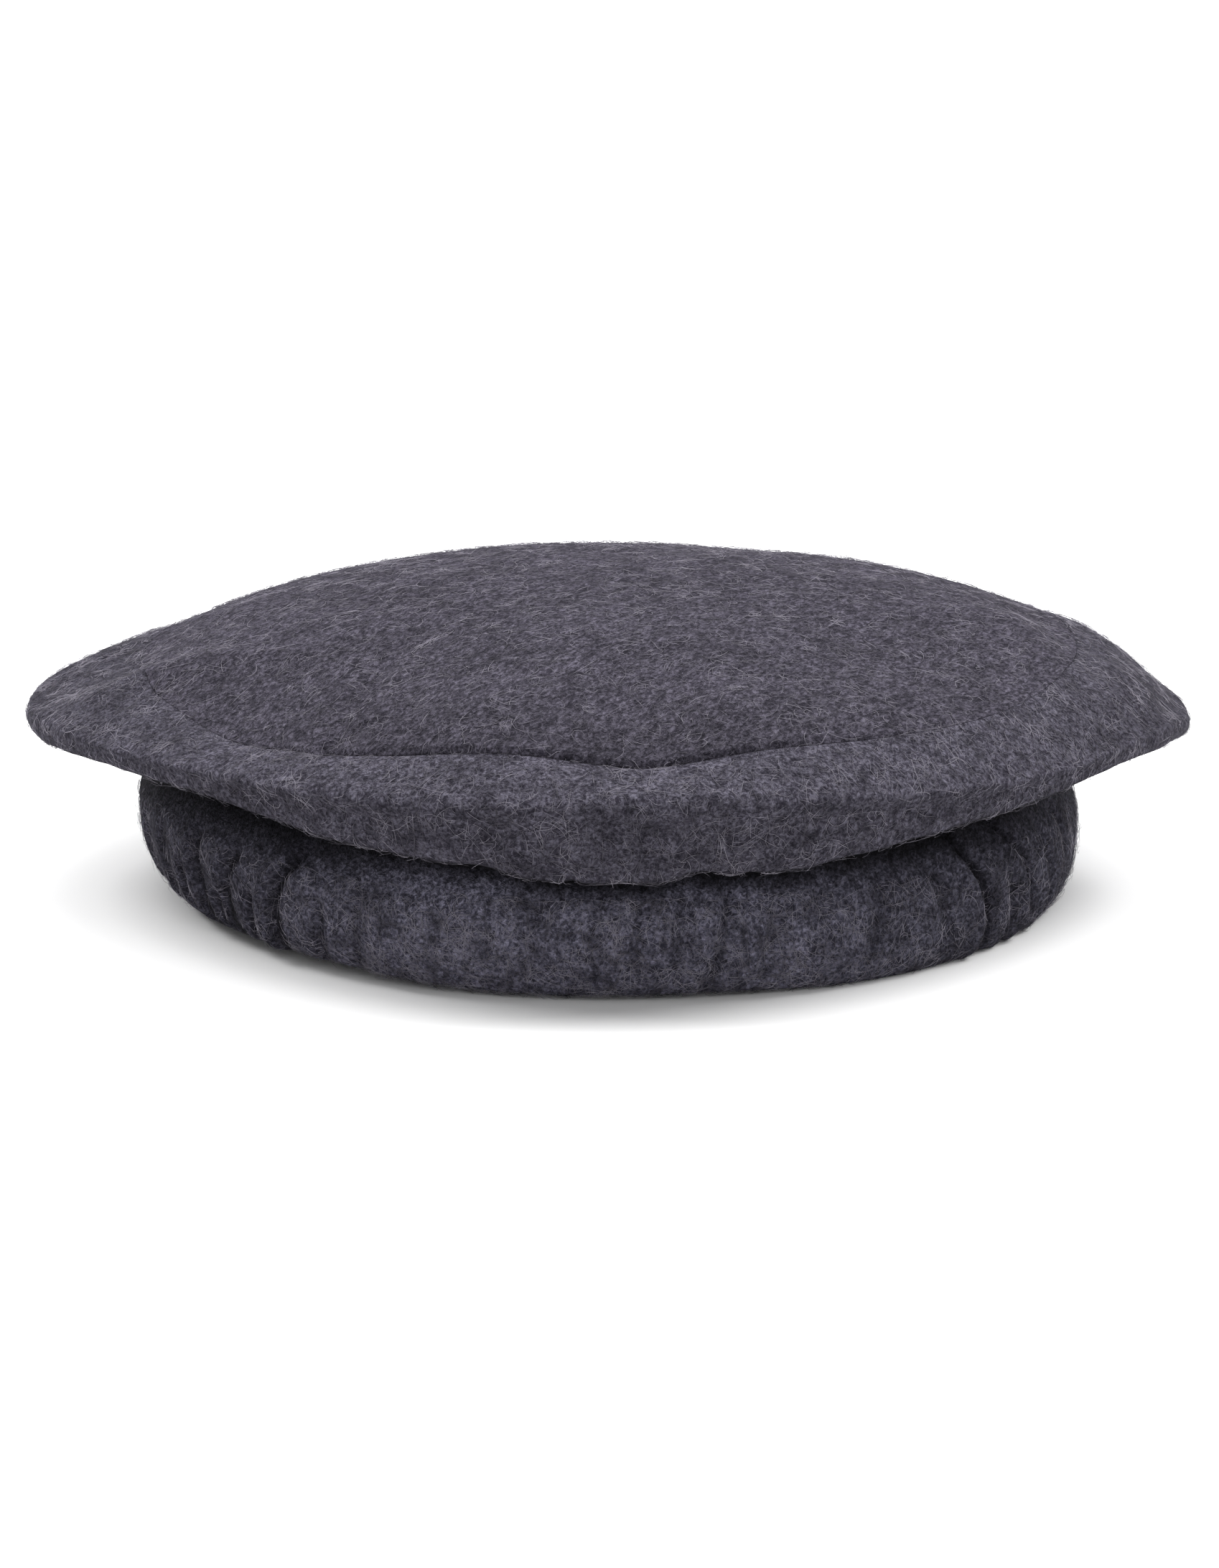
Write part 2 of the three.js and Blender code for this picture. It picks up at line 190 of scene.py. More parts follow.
RIM = (
    Rim(-90, 0.98, 1.12, 0.69, 0.32, 0.22, 0, 0.1, 0),
    Rim(-79, 0.8, 1.1, 0.78, 0.36, 0.2, 0, 0.2, 0.15),
    Rim(-68, 0.47, 1.12, 0.79, 0.27, 0.22, 0, 0.3, 0.45),
    Rim(-50, 0.14, 1.18, 0.85, 0.334, 0.55, 0.08, 0.4, 0.9),
    Rim(-34, 0.1, 1.05, 0.87, 0.548, 0.95, 0.65, 0.5, 1),
    Rim(-16, 0.14, 0.79, 0.92, 0.767, 1, 1, 0.5, 1),
    Rim(-8, 0.15, 0.78, 0.975, 0.915, 1, 1, 0.5, 1),
    Rim(4, 0.16, 0.9, 1.045, 1.01, 1, 1, 0.5, 1),
    Rim(18, 0.14, 0.79, 0.965, 0.875, 1, 0.85, 0.5, 1),
    Rim(34, 0.1, 0.9, 0.85, 0.614, 0.95, 0.35, 0.5, 1),
    Rim(50, 0.14, 0.95, 0.68, 0.374, 0.55, 0.1, 0.6, 0.9),
    Rim(68, 0.43, 0.9, 0.68, 0.24, 0.24, 0, 0.8, 0.5),
    Rim(79, 0.78, 0.89, 0.69, 0.28, 0.2, 0, 0.9, 0.2),
    Rim(90, 0.98, 0.9, 0.56, 0.345, 0.22, 0, 0.9, 0),
    Rim(101, 0.79, 0.86, 0.68, 0.34, 0.2, 0, 0.9, 0),
    Rim(114, 0.47, 0.86, 0.7, 0.34, 0.22, 0.3, 0.9, 0.3),
    Rim(140, 0.1, 0.9, 0.7, 0.42, 0.7, 0.6, 0.6, 0.6),
    Rim(180, 0, 0.95, 0.8, 0.6, 1, 0.7, 0.5, 0.7),
    Rim(220, 0.1, 1.02, 0.72, 0.42, 0.7, 0.6, 0.5, 0.6),
    Rim(246, 0.47, 1.04, 0.75, 0.34, 0.22, 0.3, 0.4, 0.3),
    Rim(259, 0.81, 1.04, 0.83, 0.42, 0.18, 0.1, 0.3, 0),
)

LEDGE_SECTION = (Ledge(0, 0, 0), Ledge(0.3, 0.3, 1), Ledge(0.7, 0.7, 1))

LIP_SECTION = (
    Section(0, 0.6, 0, 0.09),
    Section(0.14, 0.15, 0.04, 0.06),
    Section(0.4, 0, 0.36, 0.36),
    Section(0.75, 0.1, 0.74, 0.48),
    Section(0.93, 0.4, 0.95, 0.66),
    Section(1, 1, 1, 1),
)

ROLL_LIE = (
    Lie(-90, 1.15, 0.5, 2.3, 1.85),
    Lie(-66, 1.65, 0.45, 2.2, 1.75),
    Lie(-50, 1.45, 0.3, 2.2, 1.5),
    Lie(-35, 0.95, -0.3, 2.3, 1.4),
    Lie(-15, 0.4, -0.8, 2.4, 1.4),
    Lie(0, 0.4, -1, 2.5, 1.4),
    Lie(15, 0.38, -1, 2.5, 1.4),
    Lie(33, 0.05, -0.8, 2.6, 1.4),
    Lie(52, 0.08, -0.6, 2.6, 1.55),
    Lie(72, 0.2, -0.3, 2.5, 1.8),
    Lie(120, 0.2, 0, 2.5, 1.85),
    Lie(180, 0.3, 0.1, 2.5, 1.8),
    Lie(230, 0.5, 0.3, 2.5, 1.85),
)

HOLLOWS = (
    Hollow(-0.72, 0.62, 0.15, 1.9),
    Hollow(-0.4, 0.6, 0.26, 1.0),
    Hollow(0.05, 0.86, 0.16, 1.1),
    Hollow(0.62, 0.46, 0.24, 1.0),
    Hollow(0.76, 0.02, 0.26, -1.2),
    Hollow(-0.66, -0.12, 0.22, 0.9),
    Hollow(0.3, -0.6, 0.28, 0.8),
)

DOME_FOLDS = (
    DomeFold(-0.57, 0.79, -0.36, 0.76, 2.0, 1.7),
    DomeFold(-0.56, 0.79, -0.42, 0.42, 3.0, 1.9),
    DomeFold(-0.97, 0.22, -0.66, 0.36, 6.5, -2.5),
    DomeFold(0.84, 0.04, 0.95, 0.3, 6.5, -1.5),
    DomeFold(0.25, 0.7, 0.5, 0.55, 6.0, 0.9),
)

BRIM_FOLDS = (
    BrimFold(44.1, 50.1, 50.4, 34, 0, 2, 4.6, 0.32),
    BrimFold(39.5, 42.6, 43, 30, 6, 2.4, 1.4, 0.15),
    BrimFold(52.9, 59.8, 60.4, 33, 1, 1.9, 3.4, 0.4),
    BrimFold(55.5, 56.2, 56, 17, -2, 1.6, 2, 0.3),
    BrimFold(64, 66.5, 66, 26, 0, 2, 2.2, 0.3),
    BrimFold(70, 72.5, 70, 30, 3, 2.4, 1.8, 0.3),
    BrimFold(-57.8, -58.6, -57.6, 27, -1, 1.8, 3.4, 0.4),
    BrimFold(-49.5, -52.8, -51.6, 26, -1, 1.8, 3.6, 0.4),
    BrimFold(-38.8, -43.3, -42.6, 31, -1, 2, 3.4, 0.4),
    BrimFold(-62, -63, -63, 19, -2, 1.6, 2.9, 0.3),
    BrimFold(-54.5, -55.2, -54.8, 15, -2, 1.4, 3, 0.3),
    BrimFold(-47, -47.9, -47.5, 17, -2, 1.5, 2.9, 0.3),
    BrimFold(-67, -69, -70, 25, 0, 2, 2.2, 0.3),
    BrimFold(-75, -77, -78, 25, 1, 2.4, 1.8, 0.3),
    BrimFold(-35.5, -36.5, -37, 18, -2, 1.8, 2.2, 0.2),
    BrimFold(-30, -30.5, -31, 24, 2, 2.6, 1.1, 0.1),
    BrimFold(8.4, 8, 7.2, 29, 4, 2, 1.3, 0.2),
    BrimFold(14.4, 13.2, 11.6, 29, 3, 1.9, 1.7, 0.3),
    BrimFold(3.8, 3.2, 2.6, 28, 5, 1.7, 1.2, 0.2),
    BrimFold(-1, -1.5, -2, 28, 5, 1.9, 1, 0.2),
    BrimFold(20, 19, 18, 28, 5, 2.2, 1.1, 0.2),
    BrimFold(-8, -8.5, -9, 27, 6, 2.8, 0.9, 0.1),
    BrimFold(27, 25.5, 25, 28, 6, 2.8, 1.1, 0.1),
    BrimFold(34, 33, 32, 29, 6, 2.8, 1.2, 0.1),
    BrimFold(126, 128, 129, 30, 4, 5, 1.5, 0.2),
    BrimFold(170, 171, 173, 30, 5, 4.5, 1.2, 0),
    BrimFold(-144, -146, -147, 30, 4, 5, 1.7, 0.2),
    BrimFold(-104, -103, -101, 29, 5, 4, 1.2, 0.1),
    BrimFold(93, 95, 94, 28, 4, 4, 1.1, 0.1),
)

HEM_NOTCHES = (
    HemNotch(-13, 3.2, 1.1),
    HemNotch(-3.8, 0.9, 0.9),
    HemNotch(1.8, 2.4, 0.6),
    HemNotch(9.8, 3, 2.1),
    HemNotch(15.4, 1, 0.9),
    HemNotch(22, 3, -0.9),
    HemNotch(30, 4, -0.8),
    HemNotch(38, 3, -0.6),
    HemNotch(-120, 4, 0.8),
    HemNotch(150, 4, -0.8),
)

DOME_LUMPS = (Lumps(0.42, 36, 1), Lumps(0.12, 14, 2), Lumps(0.05, 5, 3))
RIM_LUMPS = (Lumps(0.35, 24, 4), Lumps(0.25, 11, 5), Lumps(0.1, 5, 6))
ROLL_LUMPS = (Lumps(0.4, 26, 7), Lumps(0.35, 12, 8), Lumps(0.12, 5, 9))

# Large odd numbers, and shifts, that stir the bits of a whole number into a random one
STIR_AXES = (73856093, 19349663, 83492791)
STIR_SEED = 668265263
STIR_ROUNDS = ((15, 2246822519), (13, 3266489917))
STIR_LAST = 16
LOW_BITS = np.uint64(0xFFFFFFFF)
LUMP_SHIFT = 0.37  # how far each seed's lumps are moved, in spacings

LAMPS = (
    Lamp("overhead_light", 1.9, 60, 19, 162),
    Lamp("back_left_light", 2.9, 34, 43, -114),
    Lamp("back_right_light", 2.9, 34, 43, 114),
    Lamp("front_light", 1.1, 40, 64, 3),
)


def clear_selection() -> None:
    """Leaves object mode with nothing selected."""
    if bpy.context.object and bpy.context.object.mode != "OBJECT":
        bpy.ops.object.mode_set(mode="OBJECT")
    bpy.ops.object.select_all(action="DESELECT")


def make_active(piece: bpy.types.Object) -> None:
    """Selects one piece alone and makes it the active one."""
    clear_selection()
    piece.select_set(True)
    bpy.context.view_layer.objects.active = piece


@contextmanager
def edit_mode(piece: bpy.types.Object) -> Iterator[None]:
    """Edits one piece by its edges, with nothing in it selected at first."""
    make_active(piece)
    bpy.ops.object.mode_set(mode="EDIT")
    bpy.ops.mesh.select_mode(type="EDGE")
    bpy.ops.mesh.select_all(action="DESELECT")
    yield
    bpy.ops.object.mode_set(mode="OBJECT")


def read_points(mesh: bpy.types.Mesh) -> np.ndarray:
    """Returns a mesh's vertices as rows of x, y and z."""
    flat = np.empty(len(mesh.vertices) * 3)
    mesh.vertices.foreach_get("co", flat)
    return flat.reshape(-1, 3)


def write_points(mesh: bpy.types.Mesh, points: np.ndarray) -> None:
    """Moves a mesh's vertices to new points."""
    mesh.vertices.foreach_set("co", np.ascontiguousarray(points, dtype=np.float32).ravel())
    mesh.update()


def dress(piece: bpy.types.Object, material: bpy.types.Material) -> None:
    """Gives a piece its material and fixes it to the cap."""
    piece.data.materials.clear()
    piece.data.materials.append(material)
    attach(piece, BODY)
    log.info("%s: %d faces", piece.name, len(piece.data.polygons))


def azimuth_between(a: np.ndarray, b: np.ndarray | float) -> np.ndarray:
    """Returns how far one azimuth is from another, in degrees from -180 to 180."""
    return (a - b + 180) % 360 - 180


def azimuth_of(points: np.ndarray) -> np.ndarray:
    """Returns the azimuth of each point, in degrees from -180 to 180."""
    return np.degrees(np.arctan2(points[..., 0], -points[..., 1]))


def unit(vectors: np.ndarray) -> np.ndarray:
    """Returns the vectors with a length of 1."""
    return vectors / np.maximum(np.linalg.norm(vectors, axis=-1, keepdims=True), TINY)


def bell(away: np.ndarray) -> np.ndarray:
    """Falls from 1 at 0 to nearly 0 at 2, the same on both sides."""
    return np.exp(-away * away)


def smoothstep(low: float, high: float, values: np.ndarray) -> np.ndarray:
    """Rises smoothly from 0 at low to 1 at high."""
    t = np.clip((values - low) / (high - low), 0, 1)
    return t * t * (3 - 2 * t)


def curve(
    t: np.ndarray, start: np.ndarray, end: np.ndarray, leave: np.ndarray, arrive: np.ndarray
) -> np.ndarray:
    """Follows a smooth curve from one value to the next.

    Args:
        t: How far along, from 0 to 1.
        start: The value at 0.
        end: The value at 1.
        leave: The slope at 0.
        arrive: The slope at 1.

    Returns:
        The value at t.
    """
    t2, t3 = t * t, t * t * t
    near, far = (2 * t3 - 3 * t2 + 1) * start, (3 * t2 - 2 * t3) * end
    return near + (t3 - 2 * t2 + t) * leave + far + (t3 - t2) * arrive


def around_the_cap(table: Sequence[NamedTuple], column: str, azimuths: np.ndarray) -> np.ndarray:
    """Reads one column of a table at any azimuth, on a smooth curve that closes round the cap.

    Args:
        table: Rows with an azimuth, in rising order.
        column: The name of the column.
        azimuths: Where to read it, in degrees.

    Returns:
        The column's value at each azimuth.
    """
    places = np.array([row.azimuth for row in table], dtype=float)
    values = np.array([getattr(row, column) for row in table], dtype=float)
    places = np.concatenate((places[-2:] - 360, places, places[:2] + 360))
    values = np.concatenate((values[-2:], values, values[:2]))
    slopes = np.zeros_like(values)
    slopes[1:-1] = (values[2:] - values[:-2]) / (places[2:] - places[:-2])
    wrapped = (azimuths - places[2]) % 360 + places[2]
    i = np.searchsorted(places, wrapped, side="right") - 1
    span = places[i + 1] - places[i]
    t = (wrapped - places[i]) / span
    return curve(t, values[i], values[i + 1], span * slopes[i], span * slopes[i + 1])


def smooth_lines(knots: np.ndarray, steps: Sequence[int]) -> np.ndarray:
    """Draws smooth lines through rows of knots, each paced by the distances between its knots.

    Args:
        knots: Points by line and knot.
        steps: How many steps each span between two knots is cut into.

    Returns:
        The points by line and step.
    """
    spans = np.diff(knots, axis=1)
    length = np.maximum(np.linalg.norm(spans, axis=2, keepdims=True), TINY)
    pace = spans / length
    before, after = length[:, :-1], length[:, 1:]
    slope = np.empty_like(knots)
    slope[:, 1:-1] = (pace[:, 1:] * before + pace[:, :-1] * after) / (after + before)
    slope[:, 0], slope[:, -1] = pace[:, 0], pace[:, -1]
    drawn = []
    for i, count in enumerate(steps):
        last = i == len(steps) - 1
        t = (np.arange(count + last) / count)[None, :, None]
        here, there = slice(i, i + 1), slice(i + 1, i + 2)
        leave, arrive = length[:, here] * slope[:, here], length[:, here] * slope[:, there]
        drawn.append(curve(t, knots[:, here], knots[:, there], leave, arrive))
    return np.concatenate(drawn, axis=1)


def random_heights(places: np.ndarray, seed: int) -> np.ndarray:
    """Gives a random height, from -1 to 1, to each point with whole coordinates."""
    at = places.astype(np.int64).astype(np.uint64)
    stirred = np.zeros(places.shape[:-1], dtype=np.uint64)
    for axis, factor in enumerate(STIR_AXES):
        stirred = stirred ^ at[..., axis] * np.uint64(factor)
    stirred = (stirred + np.uint64(seed * STIR_SEED)) & LOW_BITS
    for shift, factor in STIR_ROUNDS:
        stirred = ((stirred ^ (stirred >> np.uint64(shift))) * np.uint64(factor)) & LOW_BITS
    return (stirred ^ (stirred >> np.uint64(STIR_LAST))).astype(float) / 2**31 - 1


def lumpy(places: np.ndarray, layers: Sequence[Lumps]) -> np.ndarray:
    """Gives soft random lumps in space.

    Args:
        places: Points in millimetres, in the last axis.
        layers: The lumps, coarse to fine.

    Returns:
        Their height in millimetres at each place.
    """
    total = np.zeros(places.shape[:-1])
    for layer in layers:
        scaled = places / layer.spacing + LUMP_SHIFT * layer.seed
        cell = np.floor(scaled)
        part = scaled - cell
        part = part * part * part * (part * (part * 6 - 15) + 10)
        for corner in np.ndindex(2, 2, 2):
            weight = np.prod(np.where(corner, part, 1 - part), axis=-1)
            total += layer.height * random_heights(cell + corner, layer.seed) * weight
    return total


@dataclass(frozen=True)
class CapSizes:
    """The cap's real sizes in millimetres, which its pieces share."""

    cloth: float = 2.6
    ply_gap: float = 0.9
    seam_gap: float = 0.1
    underside_gap: float = 0.3
    hem_clearance: float = 1.8
    head_opening: float = 184
    roll_core_width: float = 9.4
    roll_core_height: float = 25.2
    roll_turns: float = 2.1
    rest_press: float = 0.12
    wall_top_below_roll: float = 9
    crown_lift: float = 40.4
    front_overhang: float = 9.8
    ear_overhang: float = 28.1
    ledge_width: float = 10.7

    @property
    def pitch(self) -> float:
        """From one ply of the roll to the next."""
        return self.cloth + self.ply_gap

    @property
    def head_radius(self) -> float:
        """Inside radius of the brim."""
        return self.head_opening / 2

    @property
    def roll_half_width(self) -> float:
        """From the roll's middle to the middle line of its inner wall."""
        return self.roll_core_width / 2 + self.pitch * self.roll_turns

    @property
    def roll_half_height(self) -> float:
        """From the roll's middle to its top or bottom ply, before it is pressed."""
        return self.roll_core_height / 2 + self.pitch * (self.roll_turns - QUARTER_TURN)

    @property
    def roll_centre(self) -> float:
        """Radius of the roll's middle."""
        return self.head_radius + self.cloth / 2 + self.roll_half_width

    @property
    def roll_foot(self) -> float:
        """From the roll's middle down to the middle line of its pressed foot."""
        return self.roll_half_height * (1 - self.rest_press)

    @property
    def roll_centre_height(self) -> float:
        """Height of the roll's middle over the floor."""
        return self.roll_foot + self.cloth / 2

    @property
    def roll_outer(self) -> float:
        """Outside radius of the brim."""
        return self.roll_centre + self.roll_half_width - self.pitch / 2 + self.cloth / 2

    @property
    def roll_top(self) -> float:
        """Height of the brim."""
        return self.roll_centre_height + self.roll_half_height - self.pitch / 2 + self.cloth / 2

    @property
    def front_reach(self) -> float:
        """Radius of the crown's widest line at the front."""
        return self.roll_outer + self.front_overhang

    @property
    def ear_reach(self) -> float:
        """Radius of the crown's widest line at the ears."""
        return self.roll_outer + self.ear_overhang

    @property
    def seam_radius(self) -> float:
        """Radius of the seam round the top panel."""
        return self.front_reach - self.ledge_width


@dataclass
class ClothFace:
    """One face of a cloth: points by station round the cap and by course along the cloth, in millimetres.

    bare says from 0 to 1 how free of stray hair each point is.
    """

    points: np.ndarray
    bare: np.ndarray | None = None

    @classmethod
    def from_sections(cls, azimuths: np.ndarray, sections: np.ndarray) -> "ClothFace":
        """Turns sections of radius and height round the cap.

        Args:
            azimuths: One for each station, in degrees.
            sections: Radius and height by station and course.

        Returns:
            The face.
        """
        angle = np.radians(azimuths)[:, None]
        radius, height = sections[..., 0], sections[..., 1]
        return cls(np.stack((radius * np.sin(angle), -radius * np.cos(angle), height), axis=-1))

    def steps(self) -> tuple[np.ndarray, np.ndarray]:
        """Returns how a point moves from one station and from one course to the next."""
        round_cap = (np.roll(self.points, -1, axis=0) - np.roll(self.points, 1, axis=0)) / 2
        return round_cap, np.gradient(self.points, axis=1)

    def normals(self) -> np.ndarray:
        """Returns the outward direction at each point, where courses run out or down the cap."""
        round_cap, along = self.steps()
        return unit(np.cross(along, round_cap))

    def push_out(self, distance: np.ndarray) -> None:
        """Moves each point outwards by its own distance."""
        self.points = self.points + self.normals() * distance[..., None]


class ClothPiece:
    """A piece of the cap, made from an open tube that is laid over a face and given its thickness."""

    name: str
    stands_for: str
    stations: int
    sizes: CapSizes
    fullness: float = 1

    def face(self) -> ClothFace:
        """Returns the face that the tube is laid over."""
        raise NotImplementedError

    def tints(self, points: np.ndarray) -> dict[str, np.ndarray]:
        """Returns the attributes that the material reads, by name, at the piece's points in millimetres."""
        raise NotImplementedError

    def hairy_part(self, face: ClothFace) -> ClothFace:
        """Returns the part of the face that bears stray hair."""
        return face

    def azimuths(self) -> np.ndarray:
        """Returns the azimuth of each station, in degrees."""
        return np.arange(self.stations) * 360 / self.stations

    def tube(self, face: ClothFace) -> bpy.types.Object:
        """Makes an open tube, cuts it into courses and lays it over a face.

        Args:
            face: Where each station of each course goes.

        Returns:
            The thin piece, its doubles merged and its normals outwards.
        """
        stations, courses = face.points.shape[:2]
        clear_selection()
        bpy.ops.mesh.primitive_cylinder_add(vertices=stations, radius=1, depth=2, end_fill_type="NOTHING")
        piece = bpy.context.active_object
        piece.name = piece.data.name = self.name
        with edit_mode(piece):
            shell = bmesh.from_edit_mesh(piece.data)
            for edge in shell.edges:
                low, high = edge.verts
                edge.select_set(abs(low.co.z - high.co.z) > 1)
            bmesh.update_edit_mesh(piece.data)
            bpy.ops.mesh.subdivide(number_cuts=courses - 2)
        at = read_points(piece.data)
        course = np.rint((at[:, 2] + 1) / 2 * (courses - 1)).astype(int)
        station = np.rint(azimuth_of(at) % 360 / 360 * stations).astype(int) % stations
        write_points(piece.data, face.points[station, course] * MM)
        with edit_mode(piece):
            bpy.ops.mesh.select_all(action="SELECT")
            bpy.ops.mesh.remove_doubles(threshold=1e-6)
            bpy.ops.mesh.normals_make_consistent(inside=False)
        return piece

    def thicken(self, piece: bpy.types.Object) -> None:
        """Gives a thin piece its cloth's thickness, on the inside, and smooth shading."""
        make_active(piece)
        bpy.ops.object.modifier_add(type="SOLIDIFY")
        cloth = piece.modifiers[-1]
        cloth.thickness = self.sizes.cloth * self.fullness * MM
        cloth.offset = -1
        bpy.ops.object.modifier_apply(modifier=cloth.name)
        bpy.ops.object.shade_smooth()

    def build(self, finish: "Finish") -> ClothFace:
        """Makes the piece, pressed flat where it meets the floor.

        Args:
            finish: Its wool.

        Returns:
            Its outside, for the stray hair.
        """
        face = self.face()
        piece = self.tube(face)
        self.thicken(piece)
        points = read_points(piece.data)
        points[:, 2] = np.maximum(points[:, 2], 0)
        write_points(piece.data, points)
        for name, values in self.tints(points / MM).items():
            attribute = piece.data.attributes.new(name, "FLOAT", "POINT")
            attribute.data.foreach_set("value", np.clip(values, 0, 1).astype(np.float32))
        dress(piece, finish.material())
        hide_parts(self.stands_for)
        return self.hairy_part(face)


@dataclass
class CrownTop(ClothPiece):
    """The domed round panel, with its soft hollows, its folds and the valley along its seam.

    Lumps fade within seam_calm of the seam, a fold loses fold_fade of its depth by its end, and the higher
    ring_pace, the closer the rings lie near the seam.
    """

    sizes: CapSizes
    dome_drop: float = 18.6
    dome_power: float = 2.5
    crease_depth: float = 2
    crease_width: float = 9
    stitch_dip: float = 1.6
    stitch_width: float = 0.5
    # seam_shade and seam_shade_width: strength and reach of the painted shade on the dome above the seam
    seam_shade: float = 0.22
    seam_shade_width: float = 24
    seam_calm: float = 8
    fold_fade: float = 0.6
    ring_pace: float = 1.5
    stations: int = 480
    rings: int = 66
    name: str = "crown_top_felt"
    stands_for: str = "crown_top"

    def height(self, azimuths: np.ndarray, radius: np.ndarray | float) -> np.ndarray:
        """Gives the dome's height.

        Args:
            azimuths: In degrees.
            radius: In millimetres, of the same shape or one for all.

        Returns:
            The height of the outside at each place.
        """
        share = radius / self.sizes.seam_radius
        across = share * np.sin(np.radians(azimuths))
        forward = share * np.cos(np.radians(azimuths))
        top = self.sizes.roll_top + self.sizes.crown_lift
        z = top - self.dome_drop * around_the_cap(RIM, "drop", azimuths) * share**self.dome_power
        for hollow in HOLLOWS:
            away = np.hypot(across - hollow.across, forward - hollow.forward)
            z = z - hollow.depth * bell(away / hollow.spread)
        for fold in DOME_FOLDS:
            z = z - self.fold_depth(fold, across, forward)
        from_seam = self.sizes.seam_radius - radius
        crease = around_the_cap(RIM, "crease", azimuths)
        z = z - self.crease_depth * crease * bell(from_seam / self.crease_width)
        return z - self.stitch_dip * np.clip(crease, 0, 1) * bell(from_seam / self.stitch_width)

    def fold_depth(self, fold: DomeFold, across: np.ndarray, forward: np.ndarray) -> np.ndarray:
        """Gives how deep a long fold is at each place of the dome."""
        run_x, run_y = fold.end_across - fold.start_across, fold.end_forward - fold.start_forward
        off_x, off_y = across - fold.start_across, forward - fold.start_forward
        nearest = np.clip((off_x * run_x + off_y * run_y) / (run_x**2 + run_y**2), 0, 1)
        away = np.hypot(off_x - nearest * run_x, off_y - nearest * run_y) * self.sizes.seam_radius
        return fold.depth * (1 - self.fold_fade * nearest) * bell(away / fold.width)

    def face(self) -> ClothFace:
        """Returns the outside of the dome, from its middle out to the seam."""
        azimuths = self.azimuths()
        edge = self.sizes.seam_radius - self.sizes.seam_gap / 2
        share = np.arange(self.rings) / (self.rings - 1)
        radius = np.broadcast_to(edge * (1 - (1 - share) ** self.ring_pace), (self.stations, self.rings))
        height = self.height(np.broadcast_to(azimuths[:, None], radius.shape), radius)
        face = ClothFace.from_sections(azimuths, np.stack((radius, height), axis=-1))
        face.points[..., 2] += smoothstep(0, self.seam_calm, edge - radius) * lumpy(face.points, DOME_LUMPS)
        return face

    def tints(self, points: np.ndarray) -> dict[str, np.ndarray]:
        """Paints shade on the dome above the seam, where it is pulled in."""
        from_seam = self.sizes.seam_radius - np.hypot(points[:, 0], points[:, 1])
        pulled_in = np.clip(around_the_cap(RIM, "crease", azimuth_of(points)), 0, 1)
        # painted shade, darkest at the seam and fading up the dome over seam_shade_width
        return {PAINTED_SHADE: self.seam_shade * pulled_in * smoothstep(self.seam_shade_width, 0, from_seam)}


